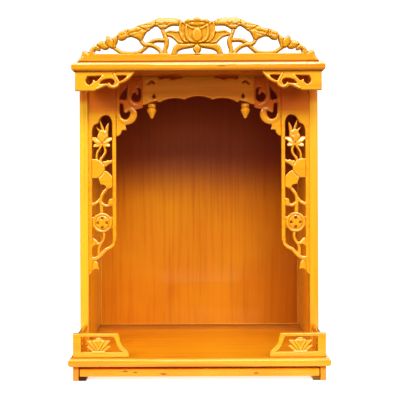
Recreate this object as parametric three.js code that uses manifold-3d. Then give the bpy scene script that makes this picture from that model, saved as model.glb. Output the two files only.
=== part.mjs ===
// A household altar cabinet of lacquered pine: an open niche on a wide base board, with a pierced crest
// on the roof, pierced brackets and panels round the opening, low lotus railings on the front step and
// an offering board that pulls out from under the base.
// Millimetres, +Z up, the front faces -Y, and the origin is the middle of the footprint on the ground.

import * as THREE from 'three';
import { mergeVertices } from 'three/addons/utils/BufferGeometryUtils.js';
import Module from 'manifold-3d';

// Driving dimensions
const glue = 0.2; // the glue line between two pieces that are fixed to each other
const footHeight = 26; // the ground to the underside of the base board
const base = { width: 480, depth: 312, thick: 16, round: 7 };
const niche = { height: 527.4, inset: 8 }; // clear height, and how far its sides stand in from the base
const roof = { overhang: 2, setback: 12, thick: 16, lower: 5, upper: 6 }; // overhang past each side
const porch = { depth: 90 }; // the front of the base board to the front of the posts
const post = { width: 16, depth: 24 };
const sidePanel = { thick: 10 };
const backPanel = { thick: 9 };
const plinth = { thick: 10.4, setback: 8 };
const runner = { width: 13.6, height: 7.2 };
const board = { thick: 14, slack: 1.6, lift: 0.5 }; // slack each side, and lift over the runners
const fret = { width: 54.5, height: 388.4, thick: 8, behind: 2 };
const spandrel = { width: 52.4, height: 116, thick: 8 };
const frieze = { height: 55.8, thick: 10 };
const pendant = { along: 0.84, height: 28.3, width: 18 }; // along: a share of half the frieze's length
const crest = { length: 448.6, height: 85.1, thick: 12, setback: 10 }; // behind the roof's front edge
const cornice = { length: 110, height: 35.8, thick: 8, setback: 6, inset: 3.8 };
const railing = { length: 104, height: 44.5, thick: 7, setback: 8 };

// Where things come to, worked out from the driving dimensions
const frontY = -base.depth / 2;
const backY = base.depth / 2;
const floorZ = footHeight + base.thick;
const ceilingZ = floorZ + niche.height;
const sideX = base.width / 2 - niche.inset; // the outer faces of the cabinet
const postY = frontY + porch.depth; // the front faces of the posts
const backPanelY = backY - backPanel.thick; // the inner face of the back
const roofY = frontY + roof.setback; // the front edge of the roof
const fretX = sideX - post.width; // the outer edges of the pierced panels
const friezeEnd = fretX - fret.width - spandrel.width - glue; // half the frieze's length

const wood = { color: 0xf0a41c, roughness: 0.34, metalness: 0 };
const shadedWood = { color: 0xc8761a, roughness: 0.4, metalness: 0 };

const wasm = await Module();
wasm.setup();

const altar = new THREE.Group();

function addPiece(name, geometry, [x, y, z], finish = wood) {
  const mesh = new THREE.Mesh(geometry, new THREE.MeshStandardMaterial(finish));
  mesh.name = name;
  mesh.position.set(x, y, z);
  altar.add(mesh);
}

// Solids that can be joined and cut

function toSolid(geometry) {
  const bare = geometry.clone();
  bare.deleteAttribute('normal');
  bare.deleteAttribute('uv');
  const welded = mergeVertices(bare, 1e-4);
  const vertProperties = new Float32Array(welded.attributes.position.array);
  const triVerts = new Uint32Array(welded.index.array);
  return new wasm.Manifold(new wasm.Mesh({ numProp: 3, vertProperties, triVerts }));
}

function toGeometry(solid) {
  const { vertProperties, triVerts } = solid.getMesh();
  const geometry = new THREE.BufferGeometry();
  geometry.setAttribute('position', new THREE.BufferAttribute(vertProperties, 3));
  geometry.setIndex(new THREE.BufferAttribute(triVerts, 1));
  geometry.computeVertexNormals();
  return geometry;
}

// A shape drawn in front view (across, up), from its back face at y = 0 to its front face at y = -thick.
function seenFromFront(shape, thick, segments = 4) {
  const geometry = new THREE.ExtrudeGeometry(shape, {
    depth: thick,
    bevelEnabled: false,
    curveSegments: segments,
  });
  return geometry.rotateX(Math.PI / 2);
}

// A shape drawn in side view (back, up), from x = -length / 2 to x = length / 2.
function seenFromSide(shape, length, segments = 4) {
  const geometry = new THREE.ExtrudeGeometry(shape, {
    depth: length,
    bevelEnabled: false,
    curveSegments: segments,
  });
  const back = new THREE.Vector3(0, 1, 0);
  const up = new THREE.Vector3(0, 0, 1);
  const right = new THREE.Vector3(1, 0, 0);
  geometry.applyMatrix4(new THREE.Matrix4().makeBasis(back, up, right));
  return geometry.translate(-length / 2, 0, 0);
}

// A rectangle from (left, 0) to (right, high) with a rounding of its own at each of its corners.
function roundedRectangle(left, right, high, { lowerLeft, lowerRight, upperRight, upperLeft }) {
  const shape = new THREE.Shape();
  const corners = [
    [left + lowerLeft, lowerLeft, lowerLeft, 1],
    [right - lowerRight, lowerRight, lowerRight, 1.5],
    [right - upperRight, high - upperRight, upperRight, 0],
    [left + upperLeft, high - upperLeft, upperLeft, 0.5],
  ];
  for (const [x, y, radius, turn] of corners) {
    if (radius > 0) shape.absarc(x, y, radius, turn * Math.PI, (turn + 0.5) * Math.PI);
    else if (shape.curves.length > 0) shape.lineTo(x, y);
    else shape.moveTo(x, y);
  }
  return shape;
}

// A board with one moulding along its front and both ends, and a square back edge at y = 0.
function mouldedBoard(width, depth, thick, lower, upper) {
  const ends = { lowerLeft: lower, lowerRight: lower, upperRight: upper, upperLeft: upper };
  const front = { lowerLeft: lower, lowerRight: 0, upperRight: 0, upperLeft: upper };
  const across = roundedRectangle(-width / 2, width / 2, thick, ends);
  const along = roundedRectangle(-depth, 0, thick, front);
  const ended = toSolid(seenFromFront(across, depth, 5));
  return toGeometry(ended.intersect(toSolid(seenFromSide(along, width, 5))));
}

function box(width, depth, height) {
  return new THREE.BoxGeometry(width, depth, height).translate(0, 0, height / 2);
}

// Drawing the carved pieces
// Each carved piece is drawn on squares. A square is a share of the piece's own length and height,
// so the carving grows with the piece.

const curveSteps = 1; // the facets that each span of a curve is drawn with; more make smoother carving

function squares(across, up, length, height) {
  return { x: length / across, y: height / up };
}

// A closed outline made of stretches. Each stretch is a smooth curve through its points and on to the
// first point of the next stretch, so an outline has its sharp corners where the stretches begin.
function outline(stretches, grid) {
  const points = [];
  stretches.forEach((stretch, index) => {
    const next = stretches[(index + 1) % stretches.length][0];
    const placed = [...stretch, next].map(([u, v]) => new THREE.Vector2(u * grid.x, v * grid.y));
    const spans = placed.length - 1;
    const drawn = spans > 1 ? new THREE.SplineCurve(placed).getPoints(spans * curveSteps) : placed;
    points.push(...drawn.slice(0, -1));
  });
  return new THREE.Shape(points);
}

// A stem: a band along a smooth path, whose points give the place and the width of the band there.
function stem(path, grid) {
  const placed = path.map(([u, v, width]) => new THREE.Vector3(u * grid.x, v * grid.y, width * grid.y));
  const along = new THREE.CatmullRomCurve3(placed, false, 'centripetal');
  const spans = (path.length - 1) * curveSteps;
  const middle = along.getPoints(spans);
  const left = [];
  const right = [];
  middle.forEach((point, index) => {
    const before = middle[Math.max(index - 1, 0)];
    const after = middle[Math.min(index + 1, spans)];
    const side = new THREE.Vector2(before.y - after.y, after.x - before.x).setLength(point.z / 2);
    left.push(new THREE.Vector2(point.x + side.x, point.y + side.y));
    right.unshift(new THREE.Vector2(point.x - side.x, point.y - side.y));
  });
  return new THREE.Shape([...left, ...right]);
}

function disc(u, v, radius, grid, sides) {
  const points = [];
  for (let index = 0; index < sides; index += 1) {
    const angle = (index / sides) * 2 * Math.PI;
    const x = u * grid.x + radius * grid.y * Math.cos(angle);
    points.push(new THREE.Vector2(x, v * grid.y + radius * grid.y * Math.sin(angle)));
  }
  return new THREE.Shape(points);
}

function bar(left, right, low, high, grid) {
  return outline([[[left, low]], [[right, low]], [[right, high]], [[left, high]]], grid);
}

function mirrored(shape) {
  return new THREE.Shape(shape.getPoints().map(({ x, y }) => new THREE.Vector2(-x, y)));
}

function cutThrough(solid, shape, thick) {
  return solid.subtract(toSolid(seenFromFront(shape, thick * 3).translate(0, thick, 0)));
}

// Joins layers of carving. A layer is a shape, how far it stands off the back face as a share of the
// thickness, and the window in it, if it has one. The shapes in cuts go right through all of them.
function carve(layers, cuts, thick) {
  let solid = null;
  for (const [shape, share, window] of layers) {
    let layer = toSolid(seenFromFront(shape, share * thick));
    if (window) layer = cutThrough(layer, window, thick);
    solid = solid ? solid.add(layer) : layer;
  }
  for (const shape of cuts) solid = cutThrough(solid, shape, thick);
  return toGeometry(solid);
}

function turnOver(layers) {
  return layers.map(([shape, share, window]) => [mirrored(shape), share, window && mirrored(window)]);
}

// A piece drawn for the left-hand side of the cabinet, with its outer edge at x = 0, is turned over
// for the right-hand side.
function onSide(side, layers, cuts, thick) {
  if (side < 0) return carve(layers, cuts, thick);
  return carve(turnOver(layers), cuts.map(mirrored), thick);
}

const sides = [
  ['left', -1],
  ['right', 1],
];

// The base and what stands under it

function addBase() {
  const slab = mouldedBoard(base.width, base.depth, base.thick, base.round, base.round);
  addPiece('base_board', slab, [0, backY, footHeight]);
  const high = footHeight - glue;
  const depth = base.depth - plinth.setback;
  const middleY = plinth.setback / 2;
  const innerX = sideX - plinth.thick;
  for (const [name, side] of sides) {
    const plinthX = side * (sideX - plinth.thick / 2);
    addPiece(`${name}_plinth_board`, box(plinth.thick, depth, high), [plinthX, middleY, 0]);
    const runnerX = side * (innerX - glue - runner.width / 2);
    const runnerDepth = depth - plinth.thick - glue;
    const runnerY = middleY - (plinth.thick + glue) / 2;
    addPiece(`${name}_runner`, box(runner.width, runnerDepth, runner.height), [runnerX, runnerY, 0]);
  }
  const backLength = 2 * (innerX - glue);
  addPiece('back_plinth_board', box(backLength, plinth.thick, high), [0, backY - plinth.thick / 2, 0]);
}

function addOfferingBoard() {
  const width = 2 * (sideX - plinth.thick - board.slack);
  const room = base.depth - plinth.setback - plinth.thick; // from the plinth's front to its back board
  const depth = room - 5;
  const middleY = frontY + plinth.setback + depth / 2;
  const edge = { lowerLeft: 1, lowerRight: 1, upperRight: 1, upperLeft: 1 };
  const side = roundedRectangle(-depth / 2, depth / 2, board.thick, edge);
  addPiece('offering_board', seenFromSide(side, width, 2), [0, middleY, runner.height + board.lift]);
}

// The niche

function addNiche() {
  const high = niche.height - 2 * glue;
  const low = floorZ + glue;
  const panelFront = postY + post.depth + glue;
  const panelDepth = backPanelY - glue - panelFront;
  for (const [name, side] of sides) {
    const postX = side * (sideX - post.width / 2);
    addPiece(`${name}_front_post`, box(post.width, post.depth, high), [postX, postY + post.depth / 2, low]);
    const panelX = side * (sideX - sidePanel.thick / 2);
    const panelY = panelFront + panelDepth / 2;
    addPiece(`${name}_side_panel`, box(sidePanel.thick, panelDepth, high), [panelX, panelY, low], shadedWood);
  }
  const back = box(2 * sideX, backPanel.thick, high);
  addPiece('back_panel', back, [0, backPanelY + backPanel.thick / 2, low], shadedWood);
}

function addRoof() {
  const width = 2 * (sideX + roof.overhang);
  const slab = mouldedBoard(width, backY - roofY, roof.thick, roof.lower, roof.upper);
  addPiece('roof_board', slab, [0, backY, ceilingZ]);
}

// The crest on the roof: a rail with scrolls and folded leaves climbing to a lotus in the middle

function crestLayers(grid) {
  const endToe = outline([
    [[121.1, 0], [121, 2], [119.4, 4.6]],
    [[116.7, 7.3], [116.8, 9.6], [116, 11.8], [114.6, 12.7], [112.4, 12.1]],
    [[109.4, 10.4], [107.6, 5]],
    [[107, 0]],
  ], grid);
  const hook = stem([[106.5, 5, 8], [106.7, 10.5, 6], [104.4, 14.4, 5.4], [101.4, 15.6, 5.3],
    [99, 15, 4]], grid);
  const ovalLeaf = outline([
    [[101.9, 18.6], [99.6, 20.6], [97.2, 21.6], [94, 22], [91, 21.2]],
    [[87.8, 17], [90.2, 14.8], [94, 13.9], [97.6, 15], [99.8, 17]],
  ], grid);
  const bud = outline([
    [[90.6, 28.1], [92.4, 25.6], [92.9, 22.6], [92, 19.4], [89.6, 16.2], [86.4, 15]],
    [[84.6, 15.2], [82.4, 17.2], [80.8, 21], [79.6, 25]],
    [[79.8, 28.6], [82.4, 28], [84.6, 26.6], [86.4, 24.8]],
    [[86.4, 24.8], [88.6, 26.8]],
  ], grid);
  const rollingLeaf = outline([
    [[80.9, 28], [78.9, 31], [76.2, 32.5], [73.2, 33.1]],
    [[69.6, 34.2], [67.4, 31], [67.6, 26.6]],
    [[67.6, 26.6], [71.2, 26], [74.2, 24.1], [77.4, 23]],
    [[80.1, 23.2]],
  ], grid);
  const droopingLeaf = outline([
    [[70.9, 33.3], [68, 34.8], [64.7, 35], [62, 36.6], [59, 38.2], [55.6, 39.6]],
    [[43, 37.3], [45.8, 35], [48.2, 33]],
    [[50.8, 31.6], [52.9, 29.8], [54.2, 27.2], [55.4, 24.4]],
    [[56.8, 22.3], [59.4, 22.5], [62.2, 24.2], [65.2, 25.8]],
    [[68.2, 27.2]],
  ], grid);
  const lotusLeaf = outline([
    [[59.4, 38], [56, 39.5], [51.2, 40.6], [46, 42.8], [42, 44.4], [36, 45.2], [26, 45.3], [20.8, 44.7],
      [17, 43]],
    [[15.6, 41], [18.8, 38.3]],
    [[25, 38.2], [29, 37.6], [32.4, 35.8], [35.8, 33.9], [38.4, 34.3]],
    [[41.2, 36.8], [46, 36.4]],
  ], grid);
  const uprightStem = stem([[36, 35.5, 3.6], [34.9, 30.6, 3.4], [32.5, 26.5, 3.8], [30.9, 22.4, 4.7],
    [31.2, 18, 4.2], [32.6, 13.8, 3.8], [33.4, 8, 5]], grid);
  const lowStem = stem([[85.6, 17, 3.2], [81.2, 13.3, 3], [76, 11.1, 3], [68.2, 10.3, 3], [62, 10.8, 3],
    [57.4, 12.4, 3], [54, 15.4, 3], [51.4, 18.4, 3], [48.6, 20.8, 3], [45, 22.5, 3], [40, 23.2, 2.9],
    [31.5, 23.1, 2.9]], grid);
  const crossStem = stem([[58, 25, 3.4], [55.7, 20.8, 3.1], [52, 18.8, 3.3], [46.7, 17.9, 3.2],
    [42.2, 15.9, 3.2], [38.2, 12.9, 3.2], [35, 8, 3.6]], grid);
  const sidePetal = outline([
    [[32.6, 30.6], [29.4, 31.8], [26, 32.6], [22, 32.3]],
    [[17, 31], [12, 20]],
    [[20.2, 19.3], [22.2, 22.4], [25, 25], [28.6, 27.4]],
  ], grid);
  const footLeaf = outline([
    [[25.4, 8.6], [24.5, 13], [23, 16.3], [20.5, 18.6], [14, 19.4], [6, 20]],
    [[0, 20], [1.5, 16], [4.8, 14.4]],
    [[8.2, 14.5], [13.2, 13.4], [18, 12.5], [20.8, 10.9]],
    [[22.4, 8.6]],
  ], grid);
  return [
    [bar(0, 116, 0, 9.2, grid), 0.92],
    [endToe, 0.92],
    [hook, 0.78],
    [ovalLeaf, 0.86],
    [bud, 1],
    [rollingLeaf, 0.84],
    [droopingLeaf, 0.92],
    [lotusLeaf, 1],
    [uprightStem, 0.78],
    [lowStem, 0.7],
    [crossStem, 0.8],
    [sidePetal, 0.84],
    [footLeaf, 0.86],
  ];
}

// The flower in the middle: petals behind petals, from the tallest at the back to the round one in front
function crestFlower(grid) {
  const backPetal = outline([
    [[-7, 26], [-7.4, 38], [-5.6, 43.2], [-2, 45.6], [2, 45.6], [5.6, 43.2], [7.4, 38]],
    [[7, 26]],
  ], grid);
  const shoulder = outline([
    [[3, 20], [2, 34], [6, 43.2], [10.6, 44.3], [13.6, 42], [15.4, 36], [13, 26]],
    [[8, 20]],
  ], grid);
  const wing = outline([
    [[3, 19], [6, 30]],
    [[14, 38.6], [17, 40.6], [19.6, 38.2], [19.6, 32], [17.6, 26.4], [13.4, 21.4]],
    [[10, 19]],
  ], grid);
  const calyx = outline([
    [[-4, 17.6], [-12, 17.2], [-20.2, 19.4]],
    [[-12, 23], [0, 21], [12, 23]],
    [[20.2, 19.4], [12, 17.2], [4, 17.6]],
  ], grid);
  const footBud = outline([
    [[-4.9, 14.4], [-3.4, 17], [0, 19.4], [3.4, 17]],
    [[4.9, 14.4], [3.2, 12]],
    [[2.6, 8]],
    [[-2.6, 8]],
    [[-3.2, 12]],
  ], grid);
  return [
    [backPetal, 0.8],
    [shoulder, 0.86],
    [mirrored(shoulder), 0.86],
    [wing, 0.93],
    [mirrored(wing), 0.93],
    [calyx, 0.97],
    [disc(0, 28.2, 6.4, grid, 16), 1],
    [footBud, 0.9],
  ];
}

function addCrest() {
  const grid = squares(2 * 121.1, 46, crest.length, crest.height);
  const half = crestLayers(grid);
  const layers = [...half, ...turnOver(half), ...crestFlower(grid)];
  const crestY = roofY + crest.setback + crest.thick;
  addPiece('crest', carve(layers, [], crest.thick), [0, crestY, ceilingZ + roof.thick + glue]);
}

// The brackets under the roof's corners

function corniceShapes(grid) {
  const body = outline([
    [[0, 19.4]],
    [[59.7, 19.4], [58.2, 16.6], [56.2, 13.7], [53, 10.7], [49.2, 8.5], [45.8, 7.3], [43.8, 6], [42.3, 4.1],
      [40, 2.5], [37.4, 1.9], [34.4, 2.9]],
    [[31.8, 4.9], [29.5, 4.1], [26.5, 2.7]],
    [[22, 2.2], [21.2, 0.7]],
    [[19.4, 0]],
    [[0, 0]],
  ], grid);
  const hook = outline([
    [[12, 13.4], [13.2, 14.7]],
    [[26.6, 15.1], [24.5, 12.7], [22.3, 10.3], [21, 9.8], [19.5, 10.6]],
    [[18, 11.2], [17.3, 8.1], [14.3, 6], [11.5, 7.7], [10.7, 11]],
  ], grid);
  const crescent = outline([
    [[24.7, 7.4], [26.4, 9.7], [30, 11.6], [35.7, 12.1], [38.9, 10.9], [39.8, 8.4], [38.6, 6.5], [37.2, 5.9],
      [35.4, 7.3]],
    [[34.2, 8.4], [32.4, 7.2], [28.5, 7.2], [26.2, 6.7]],
  ], grid);
  const triangle = outline([
    [[41.8, 15.2], [47, 15.6], [51.7, 15], [50.6, 12.9], [47.5, 10.7]],
    [[44.7, 9.6]],
  ], grid);
  return { body, holes: [hook, crescent, triangle] };
}

function addCornice() {
  const high = ceilingZ - glue - cornice.height;
  const grid = squares(59.7, 19.4, cornice.length, cornice.height);
  const { body, holes } = corniceShapes(grid);
  const frontPlane = roofY + cornice.setback;
  const cornerX = sideX - cornice.inset;
  const length = postY - glue - (frontPlane + cornice.thick + glue);
  const sideGrid = squares(59.7, 19.4, length, cornice.height);
  const sideShapes = corniceShapes(sideGrid);
  for (const [name, side] of sides) {
    const front = onSide(side, [[body, 1]], holes, cornice.thick);
    addPiece(`${name}_cornice_bracket`, front, [side * cornerX, frontPlane + cornice.thick, high]);
    const beside = onSide(side, [[sideShapes.body, 1]], sideShapes.holes, cornice.thick);
    beside.rotateZ((-side * Math.PI) / 2);
    const along = frontPlane + cornice.thick + glue;
    const faceX = side * (cornerX - cornice.thick);
    addPiece(`${name}_cornice_side_bracket`, beside, [faceX, along, high]);
  }
}

// The pierced panels beside the opening: a lotus, two round leaves and a coin on one climbing stem

function fretLayers(grid) {
  const outerStile = outline([[[0, 0.2]], [[3.8, 4.4]], [[3.8, 199.5]], [[0, 199.5]]], grid);
  const innerStile = bar(24.2, 28, 35, 199.5, grid);
  const head = outline([
    [[3.6, 199.5]],
    [[3.6, 144], [4.4, 148], [5.7, 150.9], [7.6, 152.3]],
    [[9.8, 153], [11.4, 156.8], [13.2, 159.2], [15.6, 160.8], [18.2, 161.3], [20.7, 160.5], [22.5, 158.6],
      [23.7, 156]],
    [[24.4, 152.4]],
    [[24.4, 199.5]],
  ], grid);
  const spikes = [
    outline([[[7.7, 149.9], [10.2, 148]], [[13.4, 145.6], [11.2, 143.6], [9.3, 146.8]]], grid),
    outline([[[11.3, 157.2], [13.8, 152.8]], [[16.2, 147], [13.9, 145.2], [12.4, 150.2]]], grid),
    outline([[[21, 154.2], [20.5, 149], [19.7, 143]], [[17, 142], [17, 147.4], [18.6, 151.4]]], grid),
  ];
  const cup = outline([
    [[10.6, 143.8], [9.1, 140], [10, 136.2]],
    [[13.3, 132.6], [17, 135.6], [19.8, 139]],
    [[20, 143.6], [17.4, 145.8], [14.6, 147.4], [12, 146]],
  ], grid);
  const sidePetals = [
    outline([[[3.5, 139.3], [7.4, 139.6], [10.4, 136.6]], [[13.8, 133.2], [10.2, 132.6], [6.8, 133.6],
      [5.2, 135.2]], [[3.5, 136.3]]], grid),
    outline([[[24.5, 138.9], [20.4, 139.3], [16.9, 136]], [[14, 133.2], [17.6, 132.6], [20.8, 134],
      [22.4, 135.4]], [[24.5, 136.5]]], grid),
  ];
  const lowPetals = [
    outline([[[13.8, 133.4], [9.4, 133.6], [5.6, 132.2]], [[5.2, 129.2], [9.4, 129.2]], [[13.4, 131]]], grid),
    outline([[[14, 133.4], [18.4, 133.6], [21.8, 132.4]], [[21.9, 129.4], [17.6, 129.5]],
      [[14.2, 131]]], grid),
  ];
  const twinStems = [
    stem([[14, 132, 2.2], [11.3, 127.6, 2.2], [9, 124, 2.2], [8.2, 120, 2.4], [8.6, 115.5, 2.6]], grid),
    stem([[14.6, 132, 2.4], [16.8, 127.6, 2.6], [16.8, 123.6, 2.6], [14.8, 120.2, 2.6], [12.7, 117.4, 2.8],
      [12, 114, 3]], grid),
  ];
  const roundLeaf = outline([
    [[3.5, 117.2], [8.5, 117.3], [12.3, 115.2], [14.9, 112], [16.4, 108.4], [16.6, 105.2], [15, 102.6],
      [12.4, 100.1]],
    [[10, 97.9]],
    [[3.5, 97.9]],
  ], grid);
  const smallLeaf = outline([
    [[13.2, 113.4], [15.2, 115.4], [17.3, 115.2], [19.2, 116.3], [21.6, 116]],
    [[24.5, 116.9]],
    [[24.5, 113.2], [21.7, 112.4], [18.9, 110.5]],
    [[15.8, 108]],
  ], grid);
  const fanLeaf = outline([
    [[10, 98], [12.9, 100.5], [15, 103]],
    [[16.4, 105.3], [18.9, 104.9], [21, 103.3], [23, 101]],
    [[24.5, 99]],
    [[24.5, 88.8]],
    [[22.2, 87.6], [18.6, 87.4], [17.2, 89.9], [15, 91.1]],
    [[12.3, 91.4], [11.3, 93.8]],
  ], grid);
  const mainStem = stem([[20.4, 89.4, 3.2], [16.7, 85.4, 3.6], [13.5, 81, 3.6], [12.4, 76, 3.8],
    [12.8, 70, 4], [13.2, 62, 4.2]], grid);
  const leftBranch = stem([[12.2, 77.4, 3.4], [8.9, 74, 3.6], [5.9, 72.2, 3.8], [2.4, 70.6, 4.6]], grid);
  const rightBranch = stem([[13.2, 72.4, 4], [17.4, 70.2, 3.6], [21.3, 71, 3.8], [25.4, 72.4, 4.6]], grid);
  const thorn = outline([[[19.2, 71], [20, 74.5]], [[20.6, 76.8], [22, 77]], [[24.5, 78]],
    [[24.5, 70.5]]], grid);
  const lowStem = stem([[15.1, 44.5, 3.2], [15.4, 38.6, 3], [13.9, 34.6, 3], [11.5, 31, 3.2], [10.2, 27, 3.2],
    [10.4, 21, 3.6]], grid);
  const lowLeaf = outline([
    [[3.5, 37.2], [5.1, 38.1], [7.3, 36.4], [9.6, 34.2]],
    [[11.6, 32.4], [9.5, 31.1], [7.4, 31.1], [5.2, 30.3]],
    [[3.5, 28.5]],
  ], grid);
  const foot = stem([[26.1, 37, 3.8], [24.9, 31.4, 3.8], [21.2, 27.9, 3.8], [17.2, 26, 3.8], [14.4, 22.9, 4],
    [11.3, 19.6, 4], [8, 17.6, 4.2], [3.2, 16.4, 5.4]], grid);
  const lastLeaf = outline([
    [[3.5, 15.3], [6.5, 15.4], [8.4, 14.1], [9.6, 11.6], [10, 8.8]],
    [[10.6, 5.9], [8.2, 6.7]],
    [[5.4, 6.3]],
    [[3.5, 4.2]],
  ], grid);
  return [
    [outerStile, 0.94],
    [innerStile, 0.94],
    [head, 0.9],
    ...spikes.map((shape) => [shape, 0.86]),
    [cup, 0.96],
    ...sidePetals.map((shape) => [shape, 0.88]),
    ...lowPetals.map((shape) => [shape, 1]),
    ...twinStems.map((shape) => [shape, 0.78]),
    [roundLeaf, 0.96],
    [smallLeaf, 0.84],
    [fanLeaf, 0.9],
    [mainStem, 0.78],
    [leftBranch, 0.8],
    [rightBranch, 0.8],
    [thorn, 0.86],
    [bar(3.5, 6.6, 48.2, 58.8, grid), 0.84],
    [bar(21, 24.5, 47.4, 58.8, grid), 0.84],
    [lowStem, 0.78],
    [lowLeaf, 0.88],
    [foot, 0.9],
    [lastLeaf, 0.96],
  ];
}

// The coin: a raised rim round a sunk face with four small holes
function coinShapes(grid) {
  const middle = [13.9, 53.2];
  const holes = [0, 1, 2, 3].map((quarter) => {
    const angle = (quarter * Math.PI) / 2;
    return disc(middle[0] + 4.6 * Math.cos(angle), middle[1] + 4.6 * Math.sin(angle), 1.3, grid, 6);
  });
  const rim = [disc(...middle, 10, grid, 16), 1, disc(...middle, 7.6, grid, 16)];
  return { coin: [[disc(...middle, 8, grid, 16), 0.8], rim], holes };
}

function addFretPanels() {
  const grid = squares(28, 199.5, fret.width - 2 * glue, fret.height);
  const { coin, holes } = coinShapes(grid);
  const layers = [...fretLayers(grid), ...coin];
  const low = ceilingZ - glue - fret.height;
  for (const [name, side] of sides) {
    const panel = onSide(side, layers, holes, fret.thick);
    addPiece(`${name}_fret_panel`, panel, [side * (fretX - glue), postY + fret.behind + fret.thick, low]);
  }
}

// The spandrels and the frieze between them

function spandrelShapes(grid) {
  const body = outline([
    [[0, 59.6]],
    [[0, 0], [1.8, 0.4], [3.8, 1.7], [5.3, 3.9]],
    [[5.7, 5.9], [7.5, 6.3]],
    [[10.3, 6.4], [10.2, 8], [9.6, 10]],
    [[10, 11.6], [12.5, 12], [16, 13.2], [19.3, 16], [21.2, 20.4], [21.2, 24]],
    [[19.8, 27], [22, 27.6], [25, 28.3]],
    [[27, 29.3]],
    [[27, 59.6]],
  ], grid);
  const leafHole = outline([
    [[3.7, 37.6], [4.7, 41.5], [7.4, 45.6]],
    [[11.8, 49.8], [11, 45], [10.7, 41], [10.2, 38]],
    [[8.7, 36.4], [6.5, 37.2]],
  ], grid);
  const ringHole = outline([
    [[18.9, 44.4], [16.5, 42], [15.9, 39], [17.5, 35.8], [20.7, 34.6], [23.8, 35.8], [25.2, 39], [25.2, 43],
      [25.2, 46.5], [23.8, 48.8]],
    [[20.5, 48.5], [22.3, 46.6], [23, 44.4], [22.7, 42.4], [21.6, 41.6], [20.3, 42.6]],
  ], grid);
  const hookHole = outline([
    [[4, 33], [5.7, 33.3], [7.2, 31.4], [7.6, 28], [7.7, 25], [9, 23.6]],
    [[11, 24.2], [13.2, 25.2], [14.2, 23.5], [13.7, 20.8], [11.7, 18.3], [9, 17.4], [6, 18.7], [4.3, 22],
      [3.7, 27.5]],
  ], grid);
  return { body, holes: [leafHole, ringHole, hookHole] };
}

function addSpandrels() {
  const grid = squares(27, 59.6, spandrel.width - 2 * glue, spandrel.height);
  const { body, holes } = spandrelShapes(grid);
  const outerX = fretX - fret.width - glue;
  const low = ceilingZ - glue - spandrel.height;
  for (const [name, side] of sides) {
    const piece = onSide(side, [[body, 1]], holes, spandrel.thick);
    const backOfPiece = postY + fret.behind + spandrel.thick;
    addPiece(`${name}_spandrel`, piece, [side * outerX, backOfPiece, low], shadedWood);
  }
}

function friezeHalf(grid) {
  return outline([
    [[0, 9.3]],
    [[0, 28.7]],
    [[16.4, 28.7]],
    [[16.4, 27.3]],
    [[21, 27.2], [25.1, 25.6]],
    [[29, 27.2]],
    [[35, 27.1]],
    [[35.4, 26.4], [37.4, 26]],
    [[39.4, 26.4]],
    [[39.4, 28.7]],
    [[55.7, 28.7]],
    [[55.7, 0.3], [50, 1.6], [45, 3.2]],
    [[41.4, 4.4], [40.4, 3.3]],
    [[38.5, 2.7], [36, 4.3], [31.5, 6.1], [27, 6.9], [22.3, 7.1], [18, 6.6]],
    [[13.9, 5.4], [11, 7], [7.5, 8.2], [3.7, 9]],
  ], grid);
}

function friezeHoles(grid) {
  const crescent = outline([
    [[51.9, 21.1], [50.3, 22.5], [48, 24.6], [46.4, 25], [44.6, 23.6]],
    [[43, 22], [44.6, 21.4], [46.4, 22.4], [48, 22], [49.6, 20.6]],
  ], grid);
  const drop = outline([
    [[44.6, 11.6], [45.9, 9], [45.4, 7.2], [44.4, 6.7], [43.3, 7.3], [43, 9]],
  ], grid);
  return [crescent, drop];
}

function addFrieze() {
  const grid = squares(55.7, 28.7, friezeEnd, frieze.height);
  const half = friezeHalf(grid);
  const holes = friezeHoles(grid);
  const cuts = [...holes, ...holes.map(mirrored)];
  const band = carve([[half, 1], [mirrored(half), 1]], cuts, frieze.thick);
  const y = postY + fret.behind + spandrel.thick;
  addPiece('frieze_board', band, [0, y, ceilingZ - glue - frieze.height], shadedWood);
}

// The turned drops under the ends of the frieze: a collar, a swelling and a rounded point
function addPendants() {
  const outer = pendant.width / 2;
  const tall = pendant.height;
  const profile = [
    [0, 0],
    [0.26, 0.03],
    [0.52, 0.2],
    [0.78, 0.35],
    [1, 0.52],
    [0.8, 0.67],
    [0.76, 0.75],
    [0.88, 0.84],
    [0.86, 1],
    [0, 1],
  ].map(([across, up]) => new THREE.Vector2(across * outer, up * tall));
  // The frieze's slanting edge over the drop is this far above the frieze's lowest point.
  const edge = 0.0505 * frieze.height;
  const top = ceilingZ - glue - frieze.height + edge;
  const y = postY + fret.behind + spandrel.thick - frieze.thick / 2;
  for (const [name, side] of sides) {
    const drop = new THREE.LatheGeometry(profile, 12).rotateX(Math.PI / 2);
    addPiece(`${name}_pendant`, drop, [side * pendant.along * friezeEnd, y, top - glue - tall]);
  }
}

// The low railings on the front step, each with a lotus in its opening

function lotusHalf(grid, middle, way) {
  const at = (points) => points.map(([u, v]) => [middle + way * u, v]);
  return outline([
    at([[0, 4.8]]),
    at([[6.4, 4.8], [9.2, 8.2], [11.6, 9.8]]),
    at([[12.8, 11], [10.8, 12.1]]),
    at([[8.4, 12.4]]),
    at([[9.7, 13.6], [11.2, 15.4]]),
    at([[12, 17.3], [9.4, 17.7], [7, 17.3], [5, 18.3], [3.2, 19.7], [1.8, 21]]),
    at([[0, 21.8]]),
  ], grid);
}

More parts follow.
